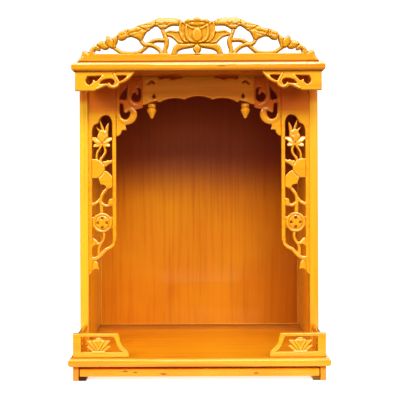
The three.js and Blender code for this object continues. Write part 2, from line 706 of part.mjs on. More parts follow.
// The bud in the middle and the two petals that fold across its foot
function lotusPetals(grid, middle) {
  const at = (points) => points.map(([u, v]) => [middle + u, v]);
  const bud = outline([at([[-4.8, 12], [-3.4, 17], [0, 20.8], [3.4, 17]]), at([[4.8, 12], [0, 5.2]])], grid);
  const folds = [-1, 1].map((way) => {
    const fold = [[7, 16.2], [5.6, 16.4], [3, 13], [0.4, 8]].map(([u, v]) => [way * u, v]);
    const back = [[0.4, 5], [4, 6.4], [7.2, 11]].map(([u, v]) => [way * u, v]);
    return outline([at(fold), at(back)], grid);
  });
  return [[bud, 0.9], [folds[0], 1], [folds[1], 1]];
}

function addRailings() {
  const grid = squares(56.8, 24.6, railing.length, railing.height);
  const frame = outline([
    [[0, 0]],
    [[0, 24.6]],
    [[45.2, 24.6], [46.6, 21.8], [47.3, 18.5], [48.3, 15], [50.3, 11.8], [53.4, 8.8], [55.6, 6], [56.5, 3]],
    [[56.7, 0]],
  ], grid);
  const opening = outline([
    [[8, 5.6]],
    [[8, 21.3]],
    [[40.3, 21.3], [42.1, 18.8], [43.1, 15.8], [44.3, 12.5], [46, 9.5], [48.5, 7]],
    [[50.3, 5.6]],
  ], grid);
  const middle = 25.5;
  const layers = [
    [frame, 0.92, opening],
    [lotusHalf(grid, middle, 1), 0.76],
    [lotusHalf(grid, middle, -1), 0.76],
    ...lotusPetals(grid, middle),
    [bar(middle - 7, middle + 7, 4.2, 6.2, grid), 1],
  ];
  const frontPlane = frontY + railing.setback;
  for (const [name, side] of sides) {
    const front = onSide(side, layers, [], railing.thick);
    addPiece(`${name}_front_railing`, front, [side * sideX, frontPlane + railing.thick, floorZ + glue]);
  }
  addSideRailings(frontPlane + railing.thick + glue);
}

function addSideRailings(along) {
  const length = postY - glue - along;
  const grid = squares(46, 24.6, length, railing.height);
  const frame = bar(0, 46, 0, 24.6, grid);
  const opening = bar(4, 42, 5.6, 21.3, grid);
  const middle = 23;
  const layers = [
    [frame, 0.92, opening],
    [lotusHalf(grid, middle, 1), 0.76],
    [lotusHalf(grid, middle, -1), 0.76],
    ...lotusPetals(grid, middle),
  ];
  for (const [name, side] of sides) {
    const beside = onSide(side, layers, [], railing.thick);
    beside.rotateZ((-side * Math.PI) / 2);
    addPiece(`${name}_side_railing`, beside, [side * (sideX - railing.thick), along, floorZ + glue]);
  }
}

addBase();
addOfferingBoard();
addNiche();
addRoof();
addCrest();
addCornice();
addFretPanels();
addSpandrels();
addFrieze();
addPendants();
addRailings();

export default altar;
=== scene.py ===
# %% [markdown]
# # A household altar cabinet of lacquered pine
# The cabinet is an open niche on a wide base board. Pierced carving stands round the opening, a crest
# with a lotus stands on the roof, and an offering board pulls out from under the base.
# This lesson dresses the plain solids of the cabinet: first the boards, then the carving, then the
# lacquer, the light and the camera. Everything is in metres, and the front faces -Y.

# %% The frame
import math
import bmesh
import bpy
import numpy as np
from mathutils import Matrix, Vector


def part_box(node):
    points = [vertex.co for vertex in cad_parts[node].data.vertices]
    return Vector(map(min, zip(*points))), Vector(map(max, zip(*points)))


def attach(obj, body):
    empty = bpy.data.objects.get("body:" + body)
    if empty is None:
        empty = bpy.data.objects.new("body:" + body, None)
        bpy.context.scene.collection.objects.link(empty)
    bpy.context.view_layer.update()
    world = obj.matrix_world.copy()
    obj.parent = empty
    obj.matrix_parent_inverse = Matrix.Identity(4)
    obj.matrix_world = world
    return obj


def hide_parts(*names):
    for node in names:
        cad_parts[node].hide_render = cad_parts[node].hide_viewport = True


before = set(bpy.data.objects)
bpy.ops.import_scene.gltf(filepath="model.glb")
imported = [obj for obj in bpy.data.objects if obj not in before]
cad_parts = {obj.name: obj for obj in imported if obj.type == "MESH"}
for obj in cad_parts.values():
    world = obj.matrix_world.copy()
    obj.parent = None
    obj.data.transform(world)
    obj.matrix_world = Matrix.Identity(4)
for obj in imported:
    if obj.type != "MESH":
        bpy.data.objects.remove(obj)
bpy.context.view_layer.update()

# %% [markdown]
# ## Writing a finish as sums
# A finish is a tree of small nodes, and many of them do plain arithmetic. A small class wraps one
# socket, so that `0.32 + lines * 0.12` adds the Math nodes by itself. Colours and directions are
# mixed by their own nodes, because a Math node would turn them grey.

# %% A socket that can be added and multiplied
class Wire:
    def __init__(self, finish, socket):
        self.finish = finish
        self.socket = socket

    def maths(self, operation, other):
        return self.finish.node("Math", {"operation": operation}, {0: self, 1: other})

    def __add__(self, other):
        return self.maths("ADD", other)

    def __mul__(self, other):
        return self.maths("MULTIPLY", other)

    __radd__ = __add__


# %% A finish and its nodes
class Finish:
    def __init__(self, name):
        self.material = bpy.data.materials.new(name)
        self.material.use_nodes = True
        self.tree = self.material.node_tree
        self.shader = self.tree.nodes["Principled BSDF"]

    def feed(self, socket, value):
        """Links a wire to a socket, or sets the socket's own value."""
        if isinstance(value, Wire):
            self.tree.links.new(value.socket, socket)
        elif socket.type == "RGBA":
            socket.default_value = (*value, 1)
        else:
            socket.default_value = value

    def set(self, **sockets):
        for key, value in sockets.items():
            self.feed(self.shader.inputs[key.replace("_", " ")], value)

    def node(self, kind, settings, sockets, output=0):
        made = self.tree.nodes.new("ShaderNode" + kind)
        for key, value in settings.items():
            setattr(made, key, value)
        for key, value in sockets.items():
            self.feed(made.inputs[key], value)
        return Wire(self, made.outputs[output])

    def places(self):
        """Points on the wood in metres. They stay with a piece when it moves."""
        return self.node("TexCoord", {}, {}, output=3)

    def vector(self, operation, *inputs, output=0):
        return self.node("VectorMath", {"operation": operation}, dict(enumerate(inputs)), output)

    def noise(self, places, scale, detail, output=0):
        return self.node("TexNoise", {}, {"Vector": places, "Scale": scale, "Detail": detail}, output)

    def attribute(self, name):
        return self.node("Attribute", {"attribute_name": name}, {}, output=2)

    def blend(self, share, first, second):
        settings = {"data_type": "RGBA", "clamp_result": True}
        return self.node("Mix", settings, {0: share, 6: first, 7: second}, output=2)

    def spread(self, value, low, high):
        """0 at low and 1 at high, with a soft start and end."""
        settings = {"interpolation_type": "SMOOTHSTEP"}
        return self.node("MapRange", settings, {0: value, 1: low, 2: high})


# %% [markdown]
# ## Yellow lacquer over pine
# The cabinet is pine under a clear, tinted lacquer: a warm yellow with deeper orange grain lines, a few
# small knots, and a hard gloss. The grain is noise that is drawn out along the board, and the small
# knots are a few cells of a Voronoi pattern. The knots that the photograph shows are set one by one.
# The gloss is a coat over a rougher wood. Shade is painted into the colour: the wood is browner or
# darker under the roof, at the top and on the right-hand side of the niche, on the plinth and at the
# crest's foot, and the offering board is painted darker too. The uprights are painted lighter and
# yellower, as painted light. In the carving, pooled lacquer and painted shade darken the hollows, and
# raised wood gets a painted highlight. A pale line of filler marks the joints round the back panel.

# %% The wood under the lacquer
warm_patch = (0.93, 0.5, 0.02)
small_knot = (0.42, 0.13, 0.01)
dark_knot = (0.22, 0.06, 0.005)
# the painted highlight on raised carving
painted_highlight_colour = (1.0, 0.62, 0.06)


def stretch(direction, across, along):
    """How often a pattern repeats in a metre: tightly across the board and loosely along it."""
    return [along if axis == direction else across for axis in "xyz"]


def lacquered_pine(name, direction, light, deep, carved=None, painted_shade_and_filler=(), knotted=(), gloss=1.5):
    """The clear yellow lacquer, with the grain running along one direction.

    carved is the colour in the hollows of carving, where pooled lacquer and painted shade darken
    the wood. browned lists (axis, from, to, share, colour) for bands of painted shade, and of pale
    filler in joints, that change along an axis, and knotted lists (x, z, half width, half height,
    share) for single knots and figures in the grain.
    """
    finish = Finish(name)
    places = finish.places()
    wander = finish.noise(places, 5, 2, output=1)
    moved = finish.vector("MULTIPLY_ADD", wander, [0.008] * 3, places)
    drawn_out = finish.vector("MULTIPLY", moved, stretch(direction, 46, 1.3))
    streaks = finish.noise(drawn_out, 3, 5)
    fine = finish.noise(drawn_out, 11, 3)
    lines = finish.spread(streaks, 0.45, 0.68) * 0.55 + finish.spread(fine, 0.5, 0.75) * 0.25
    wood = finish.blend(lines, light, deep)
    clouds = finish.noise(places, 7, 2)
    wood = finish.blend(finish.spread(clouds, 0.4, 0.75) * 0.3, wood, warm_patch)
    spaced = finish.vector("MULTIPLY", places, stretch(direction, 11, 5))
    cells = finish.node("TexVoronoi", {}, {"Vector": spaced, "Scale": 1})
    wood = finish.blend(finish.spread(cells, 0.1, 0.02) * 0.6, wood, small_knot)
    rough = 0.32 + lines * 0.12
    for x, z, wide, high, share in knotted:
        from_knot = finish.vector("SUBTRACT", places, (x, 0, z))
        measured = finish.vector("MULTIPLY", from_knot, (1 / wide, 0, 1 / high))
        away = finish.vector("LENGTH", measured, output=1)
        wood = finish.blend(finish.spread(away, 1, 0.3) * share, wood, dark_knot)
    for axis, start, end, share, colour in painted_shade_and_filler:
        along = finish.node("SeparateXYZ", {}, {0: places}, output="xyz".index(axis))
        wood = finish.blend(finish.spread(along, start, end) * share, wood, colour)
    # Pooled lacquer and painted shade darken the hollows of the carving, and a painted highlight lightens its
    # raised wood.
    if carved:
        hollow, painted_highlight = finish.attribute("hollow"), finish.attribute("painted_highlight")
        wood = finish.blend(finish.spread(hollow, 0.02, 0.8) * 0.75, wood, carved)
        wood = finish.blend(finish.spread(painted_highlight, 0.1, 0.9) * 0.45, wood, painted_highlight_colour)
        rough = rough + hollow * 0.12
    relief = {"Strength": 0.12, "Distance": 0.0006, "Height": lines + fine * 0.4}
    finish.set(Base_Color=wood, Roughness=rough, Normal=finish.node("Bump", {}, relief),
               Coat_Weight=0.85, Coat_IOR=gloss, Coat_Roughness=0.08, Specular_IOR_Level=0.15)
    print("finish:", name, len(finish.tree.nodes), "nodes")
    return finish.material


# %% The lacquer on the boards
# A named pair of numbers is the two heights, or the two places across, between which painted shade sets in.
light_wood, deep_wood = (0.87, 0.37, 0.009), (0.75, 0.23, 0.005)
pale_filler = (1.0, 0.62, 0.12)  # in the joints round the back panel
base_middle = 0.0275
roof_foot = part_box("roof_board")[0].z
niche_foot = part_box("base_board")[1].z
niche_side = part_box("right_side_panel")[0].x

board_pine = lacquered_pine("board_lacquer", "x", light_wood, deep_wood, gloss=1.42,
                            knotted=[(0, base_middle, 0.14, 0.009, 0.25)])
# The roof's underside is painted darker, as painted shade. The two small dark marks on its front are knots.
roof_pine = lacquered_pine(
    "roof_lacquer", "x", light_wood, deep_wood, gloss=1.75,
    knotted=[(0.043, roof_foot + 0.0078, 0.013, 0.0015, 0.75),
             (0.06, roof_foot + 0.0096, 0.015, 0.0013, 0.65)],
    painted_shade_and_filler=[("z", roof_foot + 0.0012, roof_foot + 0.0003, 0.7, (0.5, 0.1, 0.008))])
# The offering board is painted darker than the other boards, as painted shade against the light that the
# floor throws on it. Its dark spots are knots.
drawn_pine = lacquered_pine(
    "offering_board_lacquer", "x", (0.83, 0.31, 0.006), (0.72, 0.2, 0.004), gloss=1.42,
    knotted=[(-0.136, 0.0175, 0.007, 0.0022, 0.9), (-0.118, 0.0155, 0.006, 0.0022, 0.9),
             (-0.066, 0.0125, 0.009, 0.0026, 0.9), (0.104, 0.0135, 0.007, 0.0028, 0.8)])
# The plinth boards are painted darker than the boards above, and darker still at their top, as painted shade
# under the base board.
under_base = (0.021, 0.026)
plinth_pine = lacquered_pine("plinth_lacquer", "x", (0.7, 0.25, 0.006), (0.58, 0.16, 0.004), gloss=1.42,
                             painted_shade_and_filler=[("z", *under_base, 0.6, (0.3, 0.06, 0.006))])
# The runners are painted nearly black.
runner_pine = lacquered_pine("runner_lacquer", "y", (0.05, 0.01, 0.002), (0.03, 0.006, 0.001), gloss=1.15)
# The posts and side panels are painted lighter and yellower than the boards, as painted light, and painted
# shade darkens them high up behind the roof's edge and towards the right.
behind_roof_edge = (0.512, 0.528)
to_the_right = (0.05, 0.2)
panel_pine_painted_light_and_shade = lacquered_pine("upright_lacquer_painted_light_and_shade", "z", (0.97, 0.6, 0.04), (0.88, 0.43, 0.016),
                            painted_shade_and_filler=[("z", *behind_roof_edge, 0.75, (0.75, 0.13, 0.01)),
                                     ("x", *to_the_right, 0.35, (0.9, 0.3, 0.01))])
# The back panel is painted darker than the boards, as painted shade inside the niche, with more painted shade
# on its right half and at the top of the niche. A pale line of filler is laid along its foot and its sides.
upper_niche = (0.32, 0.43)
right_half = (0.02, 0.2)
shaded_pine = lacquered_pine(
    "inner_lacquer_painted_shade", "z", (0.75, 0.315, 0.02), (0.58, 0.195, 0.012), gloss=1.3,
    painted_shade_and_filler=[("x", *right_half, 0.4, (0.25, 0.06, 0.01)),
             ("z", *upper_niche, 0.76, (0.22, 0.055, 0.06)),
             ("z", niche_foot + 0.0028, niche_foot + 0.0016, 0.7, pale_filler),
             ("x", niche_side - 0.0026, niche_side - 0.0016, 0.5, pale_filler),
             ("x", 0.0026 - niche_side, 0.0016 - niche_side, 0.5, pale_filler)])

# %% The lacquer on the carving
carving = ((0.95, 0.44, 0.016), (0.82, 0.29, 0.008))
# the colour in the carving's hollows: pooled lacquer and painted shade
pooled_lacquer_and_shade = (0.46, 0.13, 0.004)
# painted shade under the roof sets in between these heights on the frets, spandrels and frieze
under_roof = (0.488, 0.513)
crest_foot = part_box("crest")[0].z

carved_pine = lacquered_pine("carved_lacquer", "x", *carving, pooled_lacquer_and_shade, gloss=1.6)
shaded_carving = lacquered_pine("shaded_carving_lacquer", "x", *carving, pooled_lacquer_and_shade, gloss=1.8,
                                painted_shade_and_filler=[("z", *under_roof, 0.66, (0.72, 0.1, 0.01))])
# The frieze gets a little redder painted shade under the roof.
frieze_pine = lacquered_pine("frieze_lacquer", "x", *carving, pooled_lacquer_and_shade, gloss=1.7,
                             painted_shade_and_filler=[("z", *under_roof, 0.2, (0.95, 0.18, 0.01))])
# The crest is darkened at its foot, as painted shade where it stands on the roof.
crest_pine = lacquered_pine(
    "crest_lacquer", "x", (0.7, 0.345, 0.012), (0.6, 0.245, 0.006), (0.46, 0.18, 0.004), gloss=1.42,
    painted_shade_and_filler=[("z", crest_foot + 0.0048, crest_foot + 0.003, 0.85, (0.3, 0.06, 0.008))])

# %% [markdown]
# ## Boards
# A planed board has its sharp corners taken off by hand. A box with a small bevel all round does that.
# The base and the roof get the wide rounding of their front and ends first, as a larger bevel on those
# edges alone.

# %% Hanging a piece on the cabinet
sides = ("left", "right")


def mesh_object(name, mesh, material):
    thing = bpy.data.objects.new(name, mesh)
    bpy.context.scene.collection.objects.link(thing)
    mesh.materials.append(material)
    return thing


def dress(node, how, mesh, material, body="cabinet"):
    """A piece of the scene in place of one solid, on the body that the solid belongs to."""
    thing = mesh_object(node + how, mesh, material)
    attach(thing, body)
    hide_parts(node)


def smooth_with_creases(mesh, degrees):
    mesh.shade_smooth()
    mesh.set_sharp_from_angle(angle=math.radians(degrees))


# %% A planed board
hair = 1e-4  # anything closer than this touches


def outer_edge(edge, level, low, high):
    """True for a board's lower (0) or upper (1) edge along the front or along an end."""
    middle = (edge.verts[0].co + edge.verts[1].co) / 2
    at_front = abs(middle.y - low.y) < hair
    at_end = min(abs(middle.x - low.x), abs(middle.x - high.x)) < hair
    return abs(middle.z - (low, high)[level].z) < hair and (at_front or at_end)


def planed_board(node, material, arris=0.0009, rounded=(), body="cabinet"):
    """A board in the box of its solid. rounded holds the radius of its lower and upper outer edges."""
    low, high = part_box(node)
    shape = bmesh.new()
    bmesh.ops.create_cube(shape, size=1)
    for corner in shape.verts:
        corner.co = Vector([low[i] if corner.co[i] < 0 else high[i] for i in range(3)])
    for level, radius in enumerate(rounded):
        edges = [e for e in shape.edges if outer_edge(e, level, low, high)]
        bmesh.ops.bevel(shape, geom=edges, offset=radius, segments=8, profile=0.5, affect="EDGES")
    sharp = [e for e in shape.edges if len(e.link_faces) == 2 and e.calc_face_angle(0) > math.radians(60)]
    bmesh.ops.bevel(shape, geom=sharp, offset=arris, segments=3, profile=0.5, affect="EDGES")
    mesh = bpy.data.meshes.new(node + "_planed")
    shape.to_mesh(mesh)
    shape.free()
    smooth_with_creases(mesh, 35)
    dress(node, "_planed", mesh, material, body)


# %% The boards of the cabinet
planed_board("base_board", board_pine, rounded=(0.0068, 0.0068))
planed_board("roof_board", roof_pine, rounded=(0.005, 0.006))
planed_board("offering_board", drawn_pine, arris=0.0014, body="offering_board")
for side in sides:
    planed_board(side + "_plinth_board", plinth_pine)
    planed_board(side + "_runner", runner_pine)
    planed_board(side + "_front_post", panel_pine_painted_light_and_shade, arris=0.0012)
    planed_board(side + "_side_panel", panel_pine_painted_light_and_shade)
planed_board("back_plinth_board", plinth_pine)
planed_board("back_panel", shaded_pine)
print("boards planed")

# %% [markdown]
# ## Carving in relief
# Pierced carving starts as a flat board. The carver saws the outline and the holes, then rounds each
# leaf and stem down to its own edge. Here a board is a fine net of places. Each place knows how far it
# lies inside the sawn outline and how high the wood still stands there. Leaves, stems and bars are
# laid over each other, and the highest wood wins, so that a crease runs wherever two of them meet.
# The carver's drawings are written as points on squares, with a comma after each point and a stroke
# where the outline turns a corner.

# %% Smooth curves through a carver's points
net = 0.0007  # the spacing of the places on a carved board


def read_points(drawing):
    """Points from text such as "1 2, 3 4". Numbers are taken as they are."""
    if isinstance(drawing, str):
        drawing = [[float(n) for n in point.split()] for point in drawing.split(",")]
    return np.asarray(drawing, float)


def curve_through(drawing, steps=6):
    """A smooth curve through points. Each span bends as its neighbours ask."""
    points = read_points(drawing)
    if len(points) == 2:
        return points
    ends = np.vstack([points[:1], points, points[-1:]])
    drawn = []
    for a, b, c, d in zip(ends, ends[1:], ends[2:], ends[3:]):
        for t in np.linspace(0, 1, steps, endpoint=False):
            bend = (c - a) * t + (2 * a - 5 * b + 4 * c - d) * t ** 2 + (3 * b - a - 3 * c + d) * t ** 3
            drawn.append(b + bend / 2)
    return np.array(drawn + [points[-1]])


def closed_outline(drawing):
    """Curves parted by "/". Each goes on to the first point of the next, where a corner is."""
    stretches = [read_points(stretch) for stretch in drawing.split("/")]
    points = []
    for index, stretch in enumerate(stretches):
        following = stretches[(index + 1) % len(stretches)][0]
        points.extend(curve_through([*stretch, following])[:-1])
    return np.array(points)


def round_outline(u, v, radius, sides=48):
    turn = np.linspace(0, 2 * math.pi, sides, endpoint=False)
    return np.stack([u + radius * np.cos(turn), v + radius * np.sin(turn)], 1)


def square_outline(left, right, low, high):
    return np.array([[left, low], [right, low], [right, high], [left, high]], float)


# %% Distances on the board
tiny = 1e-18  # keeps a span of no length from being divided by nothing


def depth_inside(outline, x, z):
    """How far each place lies inside a closed outline, below zero outside it."""
    nearest = np.full(x.shape, np.inf)
    inside = np.zeros(x.shape, bool)
    for (ax, az), (bx, bz) in zip(outline, np.roll(outline, -1, axis=0)):
        ex, ez = bx - ax, bz - az
        t = np.clip(((x - ax) * ex + (z - az) * ez) / (ex * ex + ez * ez + tiny), 0, 1)
        nearest = np.minimum(nearest, (x - ax - t * ex) ** 2 + (z - az - t * ez) ** 2)
        if ez != 0:
            inside ^= ((az > z) != (bz > z)) & (x < ax + (z - az) * ex / ez)
    return np.where(inside, 1.0, -1.0) * np.sqrt(nearest)


def depth_in_stem(path, x, z):
    """The same for a band along a path, whose points hold the band's width as well."""
    depth = np.full(x.shape, -np.inf)
    for (ax, az, aw), (bx, bz, bw) in zip(path, path[1:]):
        ex, ez = bx - ax, bz - az
        t = np.clip(((x - ax) * ex + (z - az) * ez) / (ex * ex + ez * ez + tiny), 0, 1)
        away = np.hypot(x - ax - t * ex, z - az - t * ez)
        depth = np.maximum(depth, (aw + (bw - aw) * t) / 2 - away)
    return depth


# %% The board that is carved
class CarvedBoard:
    """A solid's board on the carver's squares: so many across and up, counted from left_u."""

    def __init__(self, node, across, up, left_u=0.0, sideways=False):
        low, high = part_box(node)
        size = high - low
        self.length, self.thick = (size.y, size.x) if sideways else (size.x, size.y)
        self.height, self.sideways = size.z, sideways
        self.gx, self.gz, self.left_u = self.length / across, self.height / up, left_u
        self.x, self.z = np.meshgrid(self.places(self.length), self.places(self.height), indexing="ij")
        self.inside = np.full(self.x.shape, -0.01)
        self.high = np.zeros(self.x.shape)

    def places(self, length):
        """The net's places along one edge, even about its middle and a little past its ends."""
        count = 2 * math.ceil(length / 2 / net) + 5
        return (np.arange(count) - (count - 1) / 2) * net + length / 2

    def at(self, points):
        """Squares to metres."""
        points = np.asarray(points, float).copy()
        points[:, 0] = (points[:, 0] - self.left_u) * self.gx
        points[:, 1] *= self.gz
        if points.shape[1] == 3:
            points[:, 2] *= self.gz
        return points

    def window(self, points, margin):
        """The part of the net round some points."""
        low = points[:, :2].min(0) - margin
        high = points[:, :2].max(0) + margin
        i = np.searchsorted(self.x[:, 0], [low[0], high[0]])
        j = np.searchsorted(self.z[0], [low[1], high[1]])
        return slice(i[0], i[1]), slice(j[0], j[1])

    def lay(self, where, depth, lift, dome, drop, rim, veins, lean, cut):
        """Lays one form over the board. Heights are shares of its thickness, and widths are squares.

        The wood stands at lift and falls by drop within dome of its own edge. rim is the width of a
        raised rim and the depth inside it. A vein is a line with its width and depth. lean is the rise
        over ten squares to the right and upwards. cut is the width and depth of a groove round the form.
        """
        x, z = self.x[where], self.z[where]
        t = np.clip(depth / (dome * self.gz), 0, 1)
        high = lift - drop * (1 - np.sqrt(1 - (1 - t) ** 2))
        if rim:
            width, hollow = rim
            s = np.clip((depth / self.gz - width) / width, 0, 1)
            high = high - hollow * s * s * (3 - 2 * s)
        for line, width, cut_depth in veins:
            drawn = self.at(curve_through(line))
            away = -depth_in_stem(np.column_stack([drawn, np.zeros(len(drawn))]), x, z)
            high = high - cut_depth * np.exp(-(away / (width * self.gz)) ** 2)
        middle_x, middle_z = x[depth > 0].mean(), z[depth > 0].mean()
        high = high + lean[0] * (x - middle_x) / self.gx / 10 + lean[1] * (z - middle_z) / self.gz / 10
        if cut:
            width, cut_depth = cut
            outside = np.clip(-depth, 0, None) / (width * self.gz)
            self.high[where] -= np.where(depth < 0, cut_depth * np.exp(-outside ** 2), 0)
        just_outside = -1.6 * net
        self.high[where] = np.maximum(self.high[where], np.where(depth > just_outside, high, -1))
        self.inside[where] = np.maximum(self.inside[where], depth)

    def form(self, outline, lift=0.9, dome=1.6, drop=0.3, rim=None, veins=(), lean=(0, 0), cut=None):
        placed = self.at(outline)
        where = self.window(placed, margin=0.004)
        depth = depth_inside(placed, self.x[where], self.z[where])
        self.lay(where, depth, lift, dome, drop, rim, veins, lean, cut)

    def leaf(self, drawing, **how):
        self.form(closed_outline(drawing), **how)

    def stem(self, drawing, lift=0.8, drop=0.45, cut=None):
        """A band along a path. The third number of each point is its width there."""
        path = read_points(drawing)
        placed = self.at(curve_through(path))
        where = self.window(placed, margin=placed[:, 2].max() + 0.003)
        depth = depth_in_stem(placed, self.x[where], self.z[where])
        dome = path[:, 2].mean() / 2
        self.lay(where, depth, lift, dome, drop, None, (), (0, 0), cut)

    def saw(self, drawing, **how):
        self.hole(closed_outline(drawing), **how)

    def hole(self, outline, dome=1.0, drop=0.2):
        """Saws a hole through the board and rounds its edge."""
        placed = self.at(outline)
        where = self.window(placed, margin=0.006)
        away = -depth_inside(placed, self.x[where], self.z[where])
        t = np.clip(away / (dome * self.gz), 0, 1)
        self.high[where] -= drop * (1 - np.sqrt(1 - (1 - t) ** 2))
        self.inside[where] = np.minimum(self.inside[where], away)

    def turn_over(self):
        """Adds the mirror image of what is on the board so far."""
        self.inside = np.maximum(self.inside, self.inside[::-1])
        self.high = np.maximum(self.high, self.high[::-1])


# %% [markdown]
# ## From the net to a mesh
# A square of the net that lies wholly inside the outline becomes a quad. Where the outline crosses
# a square, the crossing points are found on its sides and the square is cut along them. This keeps
# the sawn edge smooth with no stair steps. The back is flat and a wall joins both faces.

# %% The sixteen ways in which an outline crosses a square
# Corners run 0 to 3 round the square, and crossing points 4 to 7 lie on the sides after each corner.
crossings = {
    1: [(0, 4, 7)], 2: [(1, 5, 4)], 3: [(0, 1, 5, 7)], 4: [(2, 6, 5)], 5: [(0, 4, 7), (2, 6, 5)],
    6: [(1, 2, 6, 4)], 7: [(0, 1, 2, 6, 7)], 8: [(3, 7, 6)], 9: [(0, 4, 6, 3)],
    10: [(1, 5, 4), (3, 7, 6)], 11: [(0, 1, 5, 6, 3)], 12: [(2, 3, 7, 5)], 13: [(0, 4, 5, 2, 3)],
    14: [(1, 2, 3, 7, 4)], 15: [(0, 1, 2, 3)],
}


def blurred(values, weight, reach):
    """The average of the wood round each place, taken over what is inside the outline."""
    def box(a):
        for axis in (0, 1):
            padded = np.concatenate([np.zeros_like(a.take([0], axis)), np.cumsum(a, axis)], axis)
            n = a.shape[axis]
            upper = np.minimum(np.arange(n) + reach + 1, n)
            lower = np.maximum(np.arange(n) - reach, 0)
            a = padded.take(upper, axis) - padded.take(lower, axis)
        return a
    total = box(box(values * weight))
    return total / np.maximum(box(box(weight)), 1e-9)


def cut_faces(inside):
    """Corner and crossing numbers of every face, with the numbers of the wall's edges."""
    solid = inside > 0
    nx, nz = solid.shape
    corner = np.arange(nx * nz).reshape(nx, nz)
    across = nx * nz + np.arange((nx - 1) * nz).reshape(nx - 1, nz)
    upward = across[-1, -1] + 1 + np.arange(nx * (nz - 1)).reshape(nx, nz - 1)
    code = solid[:-1, :-1] * 1 + solid[1:, :-1] * 2 + solid[1:, 1:] * 4 + solid[:-1, 1:] * 8
    faces, walls = [], []
    for case, shapes in crossings.items():
        i, j = np.nonzero(code == case)
        if len(i) == 0:
            continue
        numbers = np.stack([corner[i, j], corner[i + 1, j], corner[i + 1, j + 1], corner[i, j + 1],
                            across[i, j], upward[i + 1, j], across[i, j + 1], upward[i, j]], 1)
        for shape in shapes:
            faces.append(numbers[:, list(shape)])
            for a, b in zip(shape, (*shape[1:], shape[0])):
                if a > 3 and b > 3:
                    walls.append(numbers[:, [a, b]])
    return faces, np.concatenate(walls)


def places_of(grid, share_x, share_z):
    """A value of the net at its corners and at the crossing points on its lines."""
    across = grid[:-1] + (grid[1:] - grid[:-1]) * share_x
    upward = grid[:, :-1] + (grid[:, 1:] - grid[:, :-1]) * share_z
    return np.concatenate([grid.ravel(), across.ravel(), upward.ravel()])


def crossing_shares(inside):
    def share(a, b):
        crossed = (a > 0) != (b > 0)
        return np.where(crossed, a / np.where(crossed, a - b, 1), 0.5)
    return share(inside[:-1], inside[1:]), share(inside[:, :-1], inside[:, 1:])


def mesh_from_faces(name, points, faces, attributes, crease=62):
    """A mesh from arrays of faces, smooth but for creases sharper than an angle in degrees."""
    mesh = bpy.data.meshes.new(name)
    sizes = np.concatenate([np.full(len(f), f.shape[1]) for f in faces])
    corners = np.concatenate([f.ravel() for f in faces])
    starts = np.concatenate([[0], np.cumsum(sizes)[:-1]])
    mesh.vertices.add(len(points))
    mesh.vertices.foreach_set("co", points.astype(np.float32).ravel())
    mesh.loops.add(len(corners))
    mesh.loops.foreach_set("vertex_index", corners.astype(np.int32))
    mesh.polygons.add(len(sizes))
    mesh.polygons.foreach_set("loop_start", starts.astype(np.int32))
    mesh.update(calc_edges=True)
    mesh.validate()
    for key, values in attributes.items():
        mesh.attributes.new(key, "FLOAT", "POINT").data.foreach_set("value", values.astype(np.float32))
    smooth_with_creases(mesh, crease)
    return mesh


# %% The carved mesh
deepest_cut = 0.22  # the share of the thickness that is left under the deepest cut


def carved_mesh(board, name, place, flip=False):
    """The board as a closed mesh. place turns (across, out, up) into a point of the cabinet."""
    sawn = np.minimum.reduce([board.x, board.length - board.x, board.z, board.height - board.z])
    inside = np.minimum(board.inside, sawn)
    inside = inside[::-1] if flip else inside
    high = board.high[::-1] if flip else board.high
    sliver = 0.15 * net
    inside = np.where(np.abs(inside) < sliver, np.where(inside > 0, sliver, -sliver), inside)
    weight = (inside > 0).astype(float)
    high = np.clip(high, deepest_cut, 1.0)
    around = blurred(high, weight, reach=4)
    # Wood lower than the wood round it gets pooled lacquer and painted shade in the finish, and wood higher
    # than it gets a painted highlight.
    hollow_contrast, highlight_contrast = 5, 6
    hollow = np.clip((around - high) * hollow_contrast, 0, 1)
    painted_highlight = np.clip((high - around) * highlight_contrast, 0, 1)
    faces, walls = cut_faces(inside)
    shares = crossing_shares(inside)
    across, up, out, hollow, painted_highlight = (places_of(g, *shares) for g in (board.x, board.z, high, hollow, painted_highlight))
    used = np.unique(np.concatenate([f.ravel() for f in faces]))
    new_number = np.zeros(len(across), int)
    new_number[used] = np.arange(len(used))
    count = len(used)
    front = place(across[used], out[used] * board.thick, up[used])
    back = place(across[used], np.zeros(count), up[used])
    numbered = [new_number[f] for f in faces]
    walls = new_number[walls]
    wall = np.stack([walls[:, 1], walls[:, 0], walls[:, 0] + count, walls[:, 1] + count], 1)
    everything = numbered + [f[:, ::-1] + count for f in numbered] + [wall]
    attributes = {"hollow": np.concatenate([hollow[used], hollow[used] * 0]),
                  "painted_highlight": np.concatenate([painted_highlight[used], painted_highlight[used] * 0])}
    mesh = mesh_from_faces(name, np.concatenate([front, back]), everything, attributes)
    print(name, len(mesh.polygons), "faces")
    return mesh


def standing(node, sideways):
    """How across, out and up on a board become places in the cabinet, seen facing its carved side."""
    low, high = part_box(node)
    if not sideways:
        return lambda across, out, up: np.stack([low.x + across, high.y - out, low.z + up], 1)
    if node.startswith("left"):
        return lambda across, out, up: np.stack([high.x - out, high.y - across, low.z + up], 1)
    return lambda across, out, up: np.stack([low.x + out, low.y + across, low.z + up], 1)


def hang_carving(board, node, wood=carved_pine):
    """Hangs a board. A right-hand piece is the mirror image, and a side piece starts at the front."""
    flip = node.startswith("left" if board.sideways else "right")
    mesh = carved_mesh(board, node + "_carved", standing(node, board.sideways), flip)
    dress(node, "_carved", mesh, wood)


# %% [markdown]
# ## The crest
# The crest is one pierced board on the roof. A rail runs along its foot. From each end a scroll, a
# bud and three folded leaves climb to a lotus in the middle. It could be modelled leaf by leaf, but
# carving one board keeps every leaf joined to the next, as the saw left them.

# %% The climbing leaves
# The usual grooves round a form: the width and the depth.
hairline, groove, trench = (0.5, 0.12), (0.5, 0.15), (0.6, 0.2)


